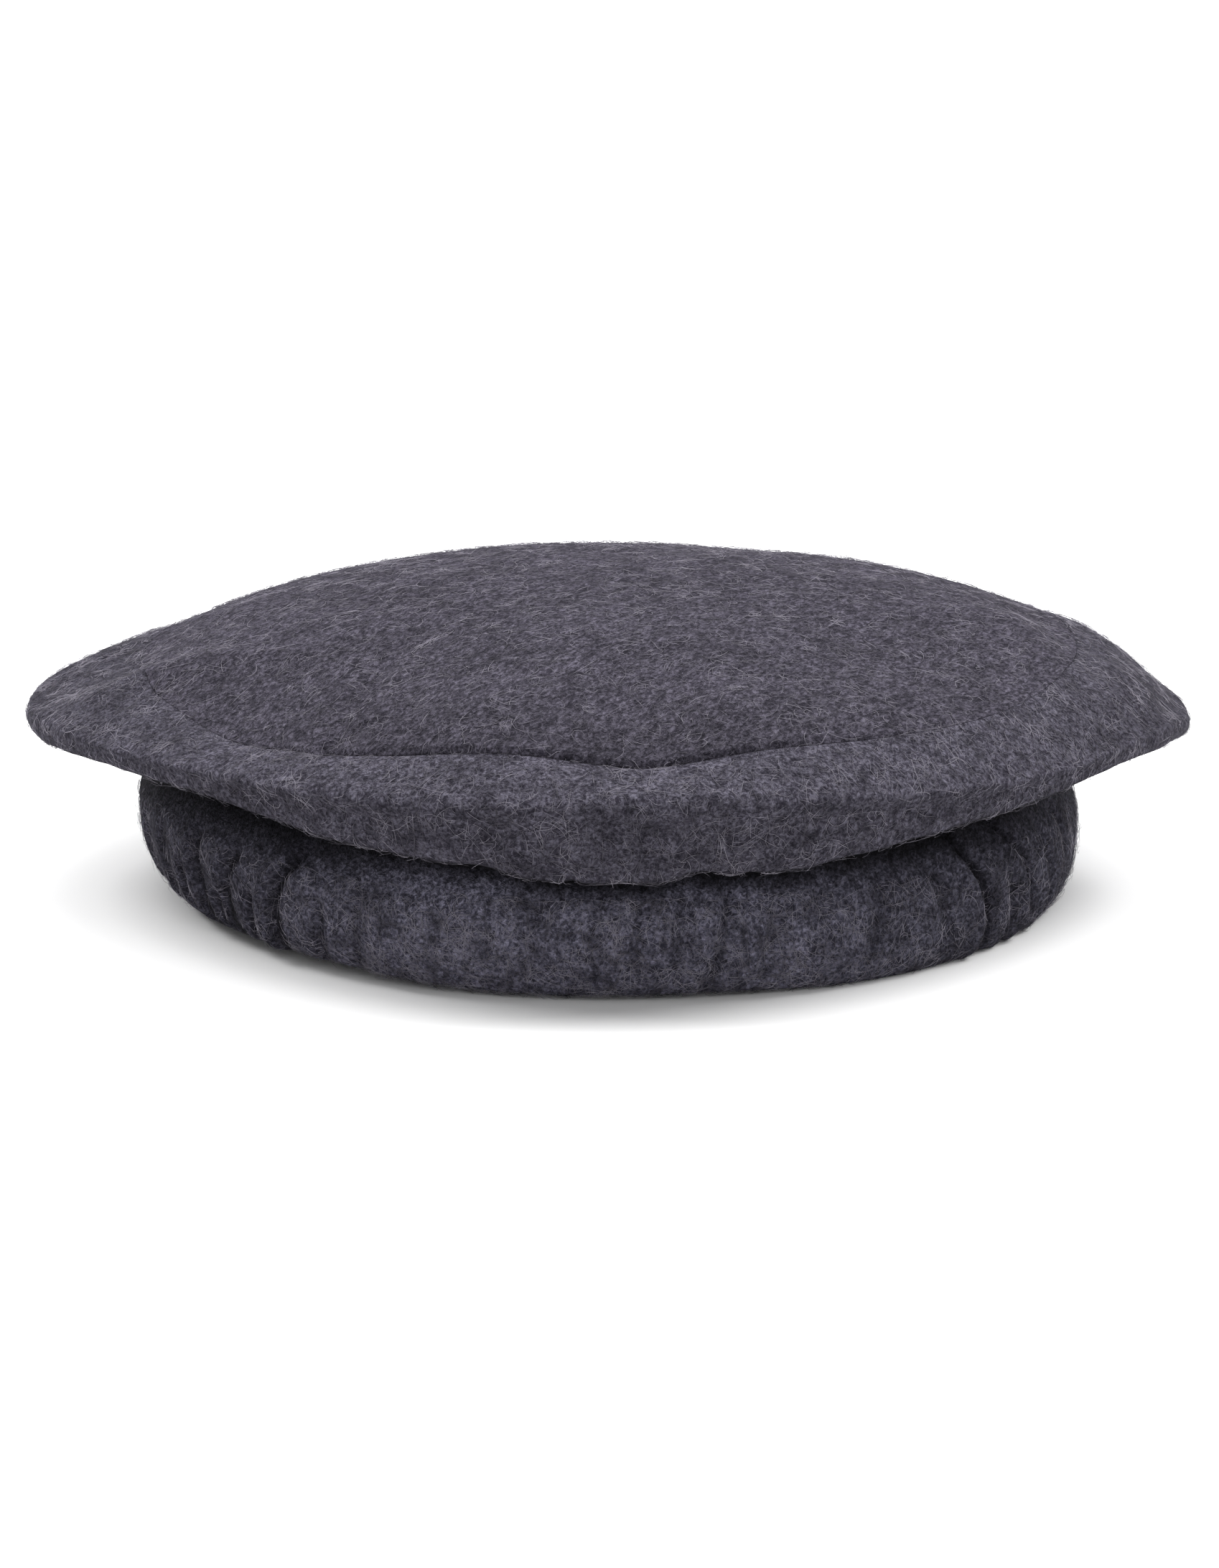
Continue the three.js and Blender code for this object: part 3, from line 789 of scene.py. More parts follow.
@dataclass
class CrownSide(ClothPiece):
    """The tube's upper part: ledge, ridge and hanging lip, the soft ears, the underside and the neck.

    flat_ledge is the share of its swell that the ledge loses where the ridge is crisp. Over ridge_blend,
    heights from the ridge, the painted highlight on the ledge passes into the painted shade under the ridge,
    which fades to lip_fade over fade_blend.
    """

    sizes: CapSizes
    top: CrownTop
    ledge_bulge: float = 2.8
    flat_ledge: float = 0.6
    rim_lift: float = 14.2
    lip_height: float = 21
    # lip_shade to fade_blend set the painted highlight over the ridge and the painted shade under it;
    # hem_shade sets the painted shade along the hem
    lip_shade: float = 0.14
    lip_fade: float = 0.2
    ridge_blend: tuple[float, float] = (-1.5, 0.1)
    fade_blend: tuple[float, float] = (-12, -3)
    hem_shade: float = 1.3
    shoulder_inset: float = 0.42
    hollow_place: float = 0.65
    hollow_rise: float = 3
    return_rise: float = 0.7
    neck_bend: float = 0.8
    calm_courses: int = 5
    fullness: float = 0.8
    stations: int = 480
    steps: tuple[int, ...] = (5, 4, 4, 4, 4, 4, 4, 4, 3, 3, 3, 2, 2, 3)
    name: str = "crown_side_felt"
    stands_for: str = "crown_side"

    @property
    def hem_course(self) -> int:
        """The course that runs along the lip's lower edge."""
        return sum(self.steps[: len(LEDGE_SECTION) + len(LIP_SECTION) - 1])

    def ridge_height(self, azimuths: np.ndarray) -> np.ndarray:
        """Returns the height of the ridge at each azimuth."""
        return self.sizes.roll_top + self.rim_lift * around_the_cap(RIM, "ridge", azimuths)

    def hem_height(self, azimuths: np.ndarray) -> np.ndarray:
        """Returns the height of the lip's lower edge at each azimuth."""
        hem = self.ridge_height(azimuths) - self.lip_height * around_the_cap(RIM, "lip", azimuths)
        for row in HEM_NOTCHES:
            hem = hem + row.rise * bell(azimuth_between(azimuths, row.azimuth) / row.width)
        return hem

    def knots(self, azimuths: np.ndarray) -> np.ndarray:
        """Gives the section's knots, from the seam over the rim and in to the neck.

        Args:
            azimuths: One for each station, in degrees.

        Returns:
            Radius and height by station and knot.
        """
        sizes = self.sizes
        rim = {column: around_the_cap(RIM, column, azimuths) for column in Rim._fields[1:]}
        crisp = np.clip(rim["crisp"], 0, 1)
        reach = sizes.front_reach + (sizes.ear_reach - sizes.front_reach) * rim["ear"]
        tuck = (reach - sizes.roll_outer - sizes.hem_clearance - sizes.cloth) * rim["tuck"]
        ridge, hem = self.ridge_height(azimuths), self.hem_height(azimuths)
        lip = []
        for row in LIP_SECTION:
            down = row.down * (1 - crisp) + row.crisp_down * crisp
            inward = row.inward * (1 - crisp) + row.crisp_inward * crisp
            lip.append((reach - tuck * inward, ridge - (ridge - hem) * down))
        seam_reach = sizes.seam_radius + sizes.seam_gap / 2
        seam = self.top.height(azimuths, sizes.seam_radius)
        swell = self.ledge_bulge * rim["bulge"] * (1 - self.flat_ledge * crisp)
        ledge = []
        for row in LEDGE_SECTION:
            out = seam_reach + (lip[0][0] - seam_reach) * row.out
            ledge.append((out, seam + (ridge - seam) * row.down + row.swell * swell))
        underside = sizes.roll_top + sizes.underside_gap
        shoulder = sizes.roll_outer - self.shoulder_inset * (sizes.roll_outer - sizes.head_radius)
        neck = sizes.head_radius + sizes.cloth
        return_reach, return_height = reach - tuck - sizes.cloth, hem + self.return_rise * sizes.cloth
        hollow = return_reach * (1 - self.hollow_place) + shoulder * self.hollow_place
        inside = [
            (return_reach, return_height),
            (hollow, np.maximum(return_height, underside + self.hollow_rise)),
            (shoulder, underside),
            (neck + self.neck_bend * sizes.cloth, underside),
            (neck, underside - sizes.cloth),
            (neck, underside - sizes.wall_top_below_roll),
        ]
        knots = [np.broadcast_arrays(*knot, azimuths)[:2] for knot in ledge + lip + inside]
        return np.stack([np.stack(knot, axis=-1) for knot in knots], axis=1)

    def face(self) -> ClothFace:
        """Returns the outside of the tube's upper part, from the seam to the neck."""
        azimuths = self.azimuths()
        face = ClothFace.from_sections(azimuths, smooth_lines(self.knots(azimuths), self.steps))
        course = np.arange(face.points.shape[1])[None, :]
        past_seam, past_hem = course - 1, course - self.hem_course - 1
        shown = smoothstep(0, self.calm_courses, past_seam) * (1 - smoothstep(0, self.calm_courses, past_hem))
        face.push_out(shown * lumpy(face.points, RIM_LUMPS))
        return face

    def tints(self, points: np.ndarray) -> dict[str, np.ndarray]:
        """Paints a highlight on the ledge over the crisp ridge, and paints shade under the ridge and along
        the hem.
        """
        azimuths = azimuth_of(points)
        crisp = np.clip(around_the_cap(RIM, "crisp", azimuths), 0, 1)
        over_ridge = points[:, 2] - self.ridge_height(azimuths)
        # painted highlight on the ledge, which faces the light from above; painted shade on the lip under the
        # ridge and along the hem
        worn = smoothstep(*self.ridge_blend, over_ridge)
        kept = self.lip_fade + (1 - self.lip_fade) * smoothstep(*self.fade_blend, over_ridge)
        at_hem = smoothstep(self.hem_shade, 0, points[:, 2] - self.hem_height(azimuths))
        return {PAINTED_HIGHLIGHT: crisp * worn, PAINTED_SHADE: crisp * np.maximum(self.lip_shade * (1 - worn) * kept, at_hem)}

    def hairy_part(self, face: ClothFace) -> ClothFace:
        """Returns the outside down to the lip's lower edge."""
        return ClothFace(face.points[:, : self.hem_course + 1])


@dataclass
class RolledBrim(ClothPiece):
    """The rest of the tube, wound outwards and up on itself, with its gathers and its flat foot.

    The roll shows up to shown_turns, and hair grows on it between hair_from and hair_to of its shown steps.
    The painted shade under the lip reaches recess_depth down, and farther over far_recess, azimuths from the
    front.
    Over side_blend the sides grow darker with painted shade. A fold's lap lies lap_away of its widths beside
    it.
    """

    sizes: CapSizes
    side: CrownSide
    recess_depth: float = 9
    recess_blend: tuple[float, float] = (-1, -0.25)
    far_recess: tuple[float, float] = (18, 48)
    darkest_fold: float = 3.6
    side_shade: float = 0.54
    side_blend: tuple[float, float] = (16, 52)
    undercut: float = 8
    undercut_power: float = 1.7
    inner_power: float = 1.9
    foot: float = 0.6
    lean: float = 2.2
    lap_away: float = 1.9
    lap_width: float = 1.3
    low_fade: tuple[float, float] = (-3, 5)
    top_fade: tuple[float, float] = (4, -4)
    face_blend: float = 0.35
    calm_foot: tuple[float, float] = (1.5, 7)
    shown_turns: float = 0.92
    hair_from: float = 0.3
    hair_to: float = 0.6
    stations: int = 640
    shown_steps: int = 54
    hidden_steps: int = 18
    name: str = "rolled_brim_felt"
    stands_for: str = "rolled_brim"

    def turns(self) -> np.ndarray:
        """Returns how far round the roll each course lies, finely where it shows."""
        shown = np.linspace(0, 1, self.shown_steps, endpoint=False)
        return np.concatenate((shown, np.linspace(1, self.sizes.roll_turns, self.hidden_steps)))

    def fold_depth(self, azimuths: np.ndarray, height: np.ndarray) -> np.ndarray:
        """Gives how far the folds draw the outside in, in millimetres, at each azimuth and height."""
        depth = np.zeros_like(height)
        for fold in BRIM_FOLDS:
            t = np.clip((fold.top - height) / (fold.top - fold.low), 0, 1)
            middle = fold.middle_azimuth * 2 - (fold.top_azimuth + fold.low_azimuth) / 2
            line = (1 - t) ** 2 * fold.top_azimuth + 2 * t * (1 - t) * middle + t * t * fold.low_azimuth
            away = np.radians(azimuth_between(azimuths, line)) * self.sizes.roll_outer / fold.width
            fade = smoothstep(*self.low_fade, height - fold.low)
            fade = fade * smoothstep(*self.top_fade, height - fold.top)
            raised = fold.lap * bell((away + self.lap_away) / self.lap_width)
            depth = depth + fold.depth * fade * (bell(away) - raised)
        return depth

    def section(self, azimuths: np.ndarray, turn: np.ndarray) -> tuple[np.ndarray, np.ndarray, np.ndarray]:
        """Winds the middle line of the cloth.

        Args:
            azimuths: In degrees, by station and course.
            turn: How far round the roll each course lies, of the same shape.

        Returns:
            Its radius, its height, and from 0 to 1 how far out it lies on the roll.
        """
        sizes = self.sizes
        lie = {column: around_the_cap(ROLL_LIE, column, azimuths) for column in Lie._fields[1:]}
        angle = np.pi * (1 + 2 * turn)
        across, up = np.cos(angle), np.sin(angle)
        half_width = sizes.roll_half_width - sizes.pitch * turn
        half_height = sizes.roll_half_height - sizes.pitch * (turn - QUARTER_TURN)
        shoulder = np.where((across > 0) & (turn < 1), lie["shoulder"], self.inner_power)
        power = 2 / np.where(up > 0, shoulder, lie["boxy"])
        lowest = sizes.pitch * np.floor(turn + QUARTER_TURN) - sizes.roll_foot
        high = np.maximum(half_height * np.sign(up) * np.abs(up) ** power, lowest)
        outer = np.maximum(across, 0)
        past_foot = np.clip((across + self.foot) / (1 + self.foot), 0, 1) * (turn < 1)
        drawn_up = self.undercut * lie["undercut"] * past_foot**self.undercut_power * (1 - up) / 2
        leaning = self.lean * lie["lean"] * outer * high / sizes.roll_half_height
        radius = sizes.roll_centre + half_width * np.sign(across) * np.abs(across) ** power + leaning
        return radius, sizes.roll_centre_height + high + drawn_up, outer

    def face(self) -> ClothFace:
        """Returns the outside of the wound cloth, from the inner wall down, out, up and round to the core."""
        sizes = self.sizes
        azimuths = self.azimuths()
        turn = np.broadcast_to(self.turns(), (self.stations, self.shown_steps + self.hidden_steps))
        around = np.broadcast_to(azimuths[:, None], turn.shape)
        radius, height, outer = self.section(around, turn)
        wall = np.empty((self.stations, 1, 2))
        wall[:] = sizes.head_radius + sizes.cloth / 2, sizes.roll_top - sizes.wall_top_below_roll
        sections = np.concatenate((wall, np.stack((radius, height), axis=-1)), axis=1)
        face = ClothFace.from_sections(azimuths, sections)
        face.push_out(np.full(sections.shape[:2], -sizes.cloth / 2))
        on_wall = np.zeros((self.stations, 1))
        facing_out = np.concatenate((on_wall, smoothstep(0, self.face_blend, outer) * (turn < 1)), axis=1)
        shown = np.concatenate((on_wall, 1 - smoothstep(self.shown_turns, 1, turn)), axis=1)
        folds = self.fold_depth(np.broadcast_to(azimuths[:, None], facing_out.shape), face.points[..., 2])
        lifted = smoothstep(*self.calm_foot, sections[..., 1])
        face.push_out(facing_out * folds + lifted * shown * lumpy(face.points, ROLL_LUMPS))
        return face

    def painted_shade(self, points: np.ndarray) -> np.ndarray:
        """Gives the painted shade, from 0 to 1, under the lip, in the folds and at the sides."""
        azimuths, height = azimuth_of(points), points[..., 2]
        # painted shade: darker under the lip's hem, in the folds' creases, and at the sides under the ears'
        # overhang
        depth = self.recess_depth * (1 + smoothstep(*self.far_recess, np.abs(azimuths)))
        under_lip = smoothstep(*self.recess_blend, (height - self.side.hem_height(azimuths)) / depth)
        in_fold = np.clip(self.fold_depth(azimuths, height) / self.darkest_fold, 0, 1)
        shaded_sides = self.side_shade * smoothstep(*self.side_blend, np.abs(azimuths))
        return 1 - (1 - np.maximum(under_lip, in_fold)) * (1 - shaded_sides)

    def tints(self, points: np.ndarray) -> dict[str, np.ndarray]:
        """Paints shade on the brim under the lip, in its folds and at its sides."""
        return {PAINTED_SHADE: self.painted_shade(points)}

    def hairy_part(self, face: ClothFace) -> ClothFace:
        """Returns the outside from its top to near the floor, bare where it is in shade."""
        first, last = int(self.shown_steps * self.hair_from), int(self.shown_steps * self.hair_to)
        outside = face.points[:, last:first:-1]
        return ClothFace(outside, self.painted_shade(outside))


@dataclass
class StrayHair:
    """Fine pale hair that curls over one face of the wool.

    Lengths and heights are in millimetres. Of many hairs few are long or stand off, the fewer the higher
    few_long and few_free. curl is how much a hair bends each millimetre, and each bends unevenly by wobble.
    least_close, thinnest and varied are the smallest closeness, the smallest thickness and how much that
    varies, as shares. least_step is the smallest step between stations or courses that counts.
    """

    name: str
    face: ClothFace
    count: int
    seed: int
    shortest: float = 3
    longest: float = 18
    few_long: float = 2.6
    thickness: float = 0.11
    thinnest: float = 0.6
    varied: float = 0.7
    taper: float = 0.55
    closeness: float = 0.3
    least_close: float = 0.4
    rise_rate: float = 3
    root_depth: float = 0.15
    free_height: float = 1.3
    few_free: float = 2.2
    curl: float = 0.46
    wobble: float = 0.8
    wobble_rate: float = 4
    joints: int = 6
    least_step: float = 0.1

    def paths(self) -> tuple[np.ndarray, np.ndarray, np.ndarray]:
        """Lets each hair wander over the face, and never below the floor.

        Returns:
            The hair's points, the outward directions there, and each hair's own thickness.
        """
        rng = np.random.default_rng(self.seed)
        round_cap, along = self.face.steps()
        normals = self.face.normals()
        area = np.linalg.norm(np.cross(round_cap, along), axis=2)[:, 1:-1]
        if self.face.bare is not None:
            area = area * (1 - self.face.bare[:, 1:-1])
        picks = rng.choice(area.size, size=self.count, p=(area / area.sum()).ravel())
        stations, courses = self.face.points.shape[:2]
        u = picks // area.shape[1] + rng.random(self.count)
        v = picks % area.shape[1] + rng.random(self.count) + 0.5
        length = self.shortest + (self.longest - self.shortest) * rng.random(self.count) ** self.few_long
        heading = rng.random(self.count) * 2 * np.pi
        bend = rng.normal(0, self.curl, self.count)
        swing = rng.random(self.count) * 2 * np.pi
        free = self.free_height * rng.random(self.count) ** self.few_free
        close = self.closeness * (self.least_close + rng.random(self.count))
        lift_u = np.maximum(np.linalg.norm(round_cap, axis=2), self.least_step)
        lift_v = np.maximum(np.linalg.norm(along, axis=2), self.least_step)
        step = length / self.joints
        points, directions = [], []
        for i in range(self.joints + 1):
            share = i / self.joints
            out = self.sample(u, v, normals)
            rise = close * min(1.0, self.rise_rate * share) + free * share**2 - self.root_depth * (share == 0)
            points.append(self.sample(u, v, self.face.points) + out * rise[:, None])
            directions.append(out)
            heading = heading + step * bend * (1 + self.wobble * np.cos(swing + self.wobble_rate * share))
            near = np.floor(u).astype(int) % stations, np.clip(np.rint(v).astype(int), 0, courses - 1)
            u = u + np.cos(heading) * step / lift_u[near]
            v = np.minimum(np.abs(v + np.sin(heading) * step / lift_v[near]), courses - 1.001)
        width = self.thickness * (self.thinnest + self.varied * rng.random(self.count))
        strands = np.stack(points, axis=1)
        strands[..., 2] = np.maximum(strands[..., 2], self.thickness)
        return strands, np.stack(directions, axis=1), width

    def sample(self, u: np.ndarray, v: np.ndarray, values: np.ndarray) -> np.ndarray:
        """Reads a value between the stations and courses of the face."""
        stations, courses = values.shape[:2]
        i, j = np.floor(u).astype(int), np.floor(v).astype(int)
        s, t = (u - i)[:, None], (v - j)[:, None]
        i, after, below = i % stations, (i + 1) % stations, np.minimum(j + 1, courses - 1)
        low = values[i, j] * (1 - s) + values[after, j] * s
        high = values[i, below] * (1 - s) + values[after, below] * s
        return low * (1 - t) + high * t

    def strand_faces(self, rings: int) -> np.ndarray:
        """Returns one strand's triangles: a closed root, walls from ring to ring, and a point."""
        faces = [(0, 2, 1)]
        for first in range(0, rings * HAIR_SIDES, HAIR_SIDES):
            for k in range(HAIR_SIDES):
                a, b = first + k, first + (k + 1) % HAIR_SIDES
                if first == (rings - 1) * HAIR_SIDES:
                    faces.append((a, b, rings * HAIR_SIDES))
                else:
                    faces += [(a, b, b + HAIR_SIDES), (a, b + HAIR_SIDES, a + HAIR_SIDES)]
        return np.array(faces)

    def build(self, finish: "Finish") -> None:
        """Makes all the hair of the face as three-sided tapered strands in one mesh.

        Args:
            finish: The hair's colours.
        """
        paths, out, width = self.paths()
        along = unit(np.gradient(paths, axis=1))
        side = unit(np.cross(along, out))
        rings = paths.shape[1] - 1
        up, side = np.cross(side, along)[:, :rings, None], side[:, :rings, None]
        taper = 1 - self.taper * np.arange(rings) / rings
        radius = (width[:, None] * taper[None, :] / 2)[..., None, None]
        corner = 2 * np.pi * np.arange(HAIR_SIDES) / HAIR_SIDES
        spread = np.cos(corner)[:, None] * up + np.sin(corner)[:, None] * side
        tube = (paths[:, :rings, None] + radius * spread).reshape(self.count, -1, 3)
        points = np.concatenate((tube, paths[:, -1:]), axis=1)
        per_hair = points.shape[1]
        corners = self.strand_faces(rings)[None] + per_hair * np.arange(self.count)[:, None, None]
        mesh = bpy.data.meshes.new(self.name)
        mesh.vertices.add(self.count * per_hair)
        mesh.loops.add(corners.size)
        mesh.polygons.add(corners.size // 3)
        mesh.loops.foreach_set("vertex_index", corners.ravel().astype(np.int32))
        mesh.polygons.foreach_set("loop_start", np.arange(0, corners.size, 3, dtype=np.int32))
        write_points(mesh, points.reshape(-1, 3) * MM)
        mesh.validate()
        piece = bpy.data.objects.new(self.name, mesh)
        bpy.context.scene.collection.objects.link(piece)
        make_active(piece)
        bpy.ops.object.shade_smooth()
        dress(piece, finish.material())


class Wiring:
    """Adds nodes to one tree and joins them."""

    def __init__(self, tree: bpy.types.NodeTree) -> None:
        """Starts from an empty tree."""
        self.tree = tree
        tree.nodes.clear()

    def node(self, kind: str, inputs: Inputs | None = None, **settings: object) -> bpy.types.Node:
        """Adds a node.

        Args:
            kind: Its type.
            inputs: Values or outputs for its inputs, by name or number.
            settings: Its own settings.

        Returns:
            The node.
        """
        made = self.tree.nodes.new(kind)
        for key, value in settings.items():
            setattr(made, key, value)
        for key, value in (inputs or {}).items():
            if isinstance(value, Socket):
                self.tree.links.new(value, made.inputs[key])
            else:
                made.inputs[key].default_value = value
        return made

    def math(self, operation: str, a: object, b: object = 0.0, c: object = 0.0) -> Socket:
        """Returns the result of a sum on up to three numbers."""
        return self.node("ShaderNodeMath", {0: a, 1: b, 2: c}, operation=operation).outputs[0]

    def scaled(self, vector: object, factor: object) -> Socket:
        """Returns a vector times a number."""
        return self.node("ShaderNodeVectorMath", {0: vector, "Scale": factor}, operation="SCALE").outputs[0]

    def shrunk(self, vector: object, size: object) -> Socket:
        """Returns a vector counted in a size."""
        return self.scaled(vector, self.math("DIVIDE", 1.0, size))

    def added(self, a: object, b: object) -> Socket:
        """Returns the sum of two vectors."""
        return self.node("ShaderNodeVectorMath", {0: a, 1: b}, operation="ADD").outputs[0]

    def noise(self, place: object, scale: float, detail: float = 2, roughness: float = 0.5) -> Socket:
        """Returns a random number, smooth in space."""
        values = {"Vector": place, "Scale": scale, "Detail": detail, "Roughness": roughness}
        return self.node("ShaderNodeTexNoise", values).outputs[0]

    def warped(self, place: object, scale: float, strength: float) -> Socket:
        """Returns a place that noise has moved to and fro."""
        values = {"Vector": place, "Scale": scale, "Detail": 2, "Roughness": 0.5}
        noise = self.node("ShaderNodeTexNoise", values).outputs["Color"]
        return self.added(place, self.scaled(self.added(noise, (-0.5, -0.5, -0.5)), strength))

    def ramp(self, value: object, low: float, high: float, bottom: float = 0, top: float = 1) -> Socket:
        """Returns a value brought smoothly from one range into another."""
        values = {"Value": value, "From Min": low, "From Max": high, "To Min": bottom, "To Max": top}
        return self.node("ShaderNodeMapRange", values, interpolation_type="SMOOTHSTEP").outputs[0]

    def blend(self, share: object, a: object, b: object, how: str = "MIX") -> Socket:
        """Returns a mix of two colours."""
        colors = {6: a, 7: b}
        for key, value in colors.items():
            if isinstance(value, tuple):
                colors[key] = (*value, 1)
        return self.node("ShaderNodeMix", {0: share, **colors}, data_type="RGBA", blend_type=how).outputs[2]


def matted_wool(wire: Wiring, given: bpy.types.NodeOutputs) -> Masks:
    """Draws tufts, and the darker pits between them."""
    place = wire.shrunk(given["Place"], given["Tuft Size"])
    fine = wire.noise(wire.warped(place, scale=0.8, strength=1.6), scale=1.0, detail=3, roughness=0.6)
    broader = wire.shrunk(given["Place"], given["Pit Size"])
    broad = wire.noise(wire.warped(broader, scale=1.1, strength=1.2), scale=1.0, detail=4, roughness=0.66)
    return {"Tufts": wire.ramp(fine, low=0.34, high=0.68), "Pits": wire.ramp(broad, low=0.56, high=0.34)}


def curly_hair(wire: Wiring, given: bpy.types.NodeOutputs) -> Masks:
    """Draws fine curly hair lines that lie in the wool, in three layers."""
    place = wire.shrunk(given["Place"], given["Size"])
    hairs: object = 0.0
    for shift in (0.0, 17.3, 41.9):
        moved = wire.added(place, (shift, shift * 0.7, -shift))
        lines = wire.noise(wire.warped(moved, scale=0.9, strength=1.6), scale=1.0, detail=1)
        off_line = wire.math("ABSOLUTE", wire.math("SUBTRACT", lines, 0.5))
        line = wire.ramp(wire.math("DIVIDE", off_line, given["Fineness"]), low=1.0, high=0.0)
        broken = wire.ramp(wire.noise(moved, scale=0.7, detail=1), low=0.5, high=0.62)
        hairs = wire.math("MAXIMUM", hairs, wire.math("MULTIPLY", line, broken))
    return {"Hairs": hairs}


def node_group(
    draw: Callable[[Wiring, bpy.types.NodeOutputs], Masks], sizes: Sequence[str], masks: Sequence[str]
) -> bpy.types.NodeTree:
    """Makes the node group of a pattern, built once and then reused.

    Args:
        draw: Draws the pattern and names the group.
        sizes: Names of its number inputs. It also has a Place.
        masks: Names of its outputs.

    Returns:
        The group.
    """
    name = draw.__name__
    if name in bpy.data.node_groups:
        return bpy.data.node_groups[name]
    tree = bpy.data.node_groups.new(name, "ShaderNodeTree")
    tree.interface.new_socket(name="Place", in_out="INPUT", socket_type="NodeSocketVector")
    for labels, side in ((sizes, "INPUT"), (masks, "OUTPUT")):
        for label in labels:
            tree.interface.new_socket(name=label, in_out=side, socket_type="NodeSocketFloat")
    wire = Wiring(tree)
    wire.node("NodeGroupOutput", draw(wire, wire.node("NodeGroupInput").outputs))
    return tree


class Finish:
    """A material that is made at its first use."""

    name: str

    def look(self, wire: Wiring) -> dict[str, object]:
        """Returns values or outputs for the shader's inputs."""
        raise NotImplementedError

    def material(self) -> bpy.types.Material:
        """Returns the material."""
        if self.name not in bpy.data.materials:
            made = bpy.data.materials.new(self.name)
            made.use_nodes = True
            wire = Wiring(made.node_tree)
            shader = wire.node("ShaderNodeBsdfPrincipled", self.look(wire))
            wire.node("ShaderNodeOutputMaterial", {"Surface": shader.outputs[0]})
        return bpy.data.materials[self.name]


@dataclass(frozen=True)
class FeltFinish(Finish):
    """Dense fulled wool, charcoal with a breath of violet. Sizes of the pattern are in metres.

    highlight is how much paler the painted highlight makes the wool, painted_shade_strength how much darker
    the painted shade makes it, and each show how much of a mask's colour shows.
    """

    name: str
    nap: Nap = Nap.MATTED
    pit: Color = (0.004, 0.0036, 0.0064)
    wool: Color = (0.019, 0.0168, 0.0245)
    tuft: Color = (0.092, 0.084, 0.1115)
    hair: Color = (0.17, 0.158, 0.195)
    worn: float = 0.34
    painted_shade_strength: float = 0.98
    tuft_size: float = 0.0009
    pit_size: float = 0.0026
    pit_show: float = 0.6
    hair_size: float = 0.0032
    hair_fineness: float = 0.022
    hair_show: float = 0.3
    cloud_scale: float = 55
    comb_stretch: float = 1.7
    comb_angle: float = 68
    roughness: float = 0.94
    sheen: float = 0.03
    tuft_rise: float = 0.55
    pit_fall: float = 0.6
    hair_rise: float = 0.3
    bump_height: float = 0.0011

    def look(self, wire: Wiring) -> dict[str, object]:
        """Lays pits and hair over tufted wool, lightens it by the painted highlight and darkens it by the
        painted shade, and raises the tufts.
        """
        place = laid = wire.node("ShaderNodeTexCoord").outputs["Object"]
        if self.nap is Nap.COMBED:
            turned = {"Vector": place, "Rotation": (0, 0, math.radians(self.comb_angle))}
            turned["Scale"] = (self.comb_stretch, 1, 1)
            laid = wire.node("ShaderNodeMapping", turned, vector_type="TEXTURE").outputs[0]
        felt_sizes = {"Place": laid, "Tuft Size": self.tuft_size, "Pit Size": self.pit_size}
        hair_sizes = {"Place": laid, "Size": self.hair_size, "Fineness": self.hair_fineness}
        wool_group = node_group(matted_wool, ("Tuft Size", "Pit Size"), ("Tufts", "Pits"))
        hair_group = node_group(curly_hair, ("Size", "Fineness"), ("Hairs",))
        felt = wire.node("ShaderNodeGroup", felt_sizes, node_tree=wool_group).outputs
        tufts, pits = felt["Tufts"], felt["Pits"]
        hair = wire.node("ShaderNodeGroup", hair_sizes, node_tree=hair_group).outputs["Hairs"]
        color = wire.blend(tufts, self.wool, self.tuft)
        color = wire.blend(wire.math("MULTIPLY", pits, self.pit_show), color, self.pit)
        color = wire.blend(wire.math("MULTIPLY", hair, self.hair_show), color, self.hair)
        # painted highlight on the ledge and painted shade along the seam, under the lip, in the brim's folds
        # and at its sides, read from the piece's attributes
        painted_highlight = wire.node("ShaderNodeAttribute", attribute_name=PAINTED_HIGHLIGHT).outputs["Fac"]
        painted_shade = wire.node("ShaderNodeAttribute", attribute_name=PAINTED_SHADE).outputs["Fac"]
        cloud = wire.noise(place, self.cloud_scale, detail=4, roughness=0.6)
        light = wire.ramp(cloud, low=0.3, high=0.7, bottom=0.84, top=1.14)
        light = wire.math("MULTIPLY", light, wire.math("MULTIPLY_ADD", painted_highlight, self.worn, 1.0))
        darker = wire.math("MULTIPLY", painted_shade, self.painted_shade_strength)
        light = wire.math("MULTIPLY", light, wire.math("SUBTRACT", 1.0, darker))
        shade = wire.node("ShaderNodeCombineColor", {0: light, 1: light, 2: light}).outputs[0]
        fall = wire.math("MULTIPLY", pits, self.pit_fall)
        height = wire.math("SUBTRACT", wire.math("MULTIPLY", tufts, self.tuft_rise), fall)
        height = wire.math("ADD", height, wire.math("MULTIPLY", hair, self.hair_rise))
        bump = wire.node("ShaderNodeBump", {"Strength": 0.85, "Distance": self.bump_height, "Height": height})
        return {
            "Base Color": wire.blend(1.0, color, shade, "MULTIPLY"),
            "Roughness": wire.ramp(tufts, 0, 1, self.roughness, self.roughness - 0.08),
            "Normal": bump.outputs[0],
            "Specular IOR Level": 0.08,
            "Sheen Weight": self.sheen,
            "Sheen Roughness": 0.5,
            "Sheen Tint": (0.72, 0.66, 0.86, 1),
        }


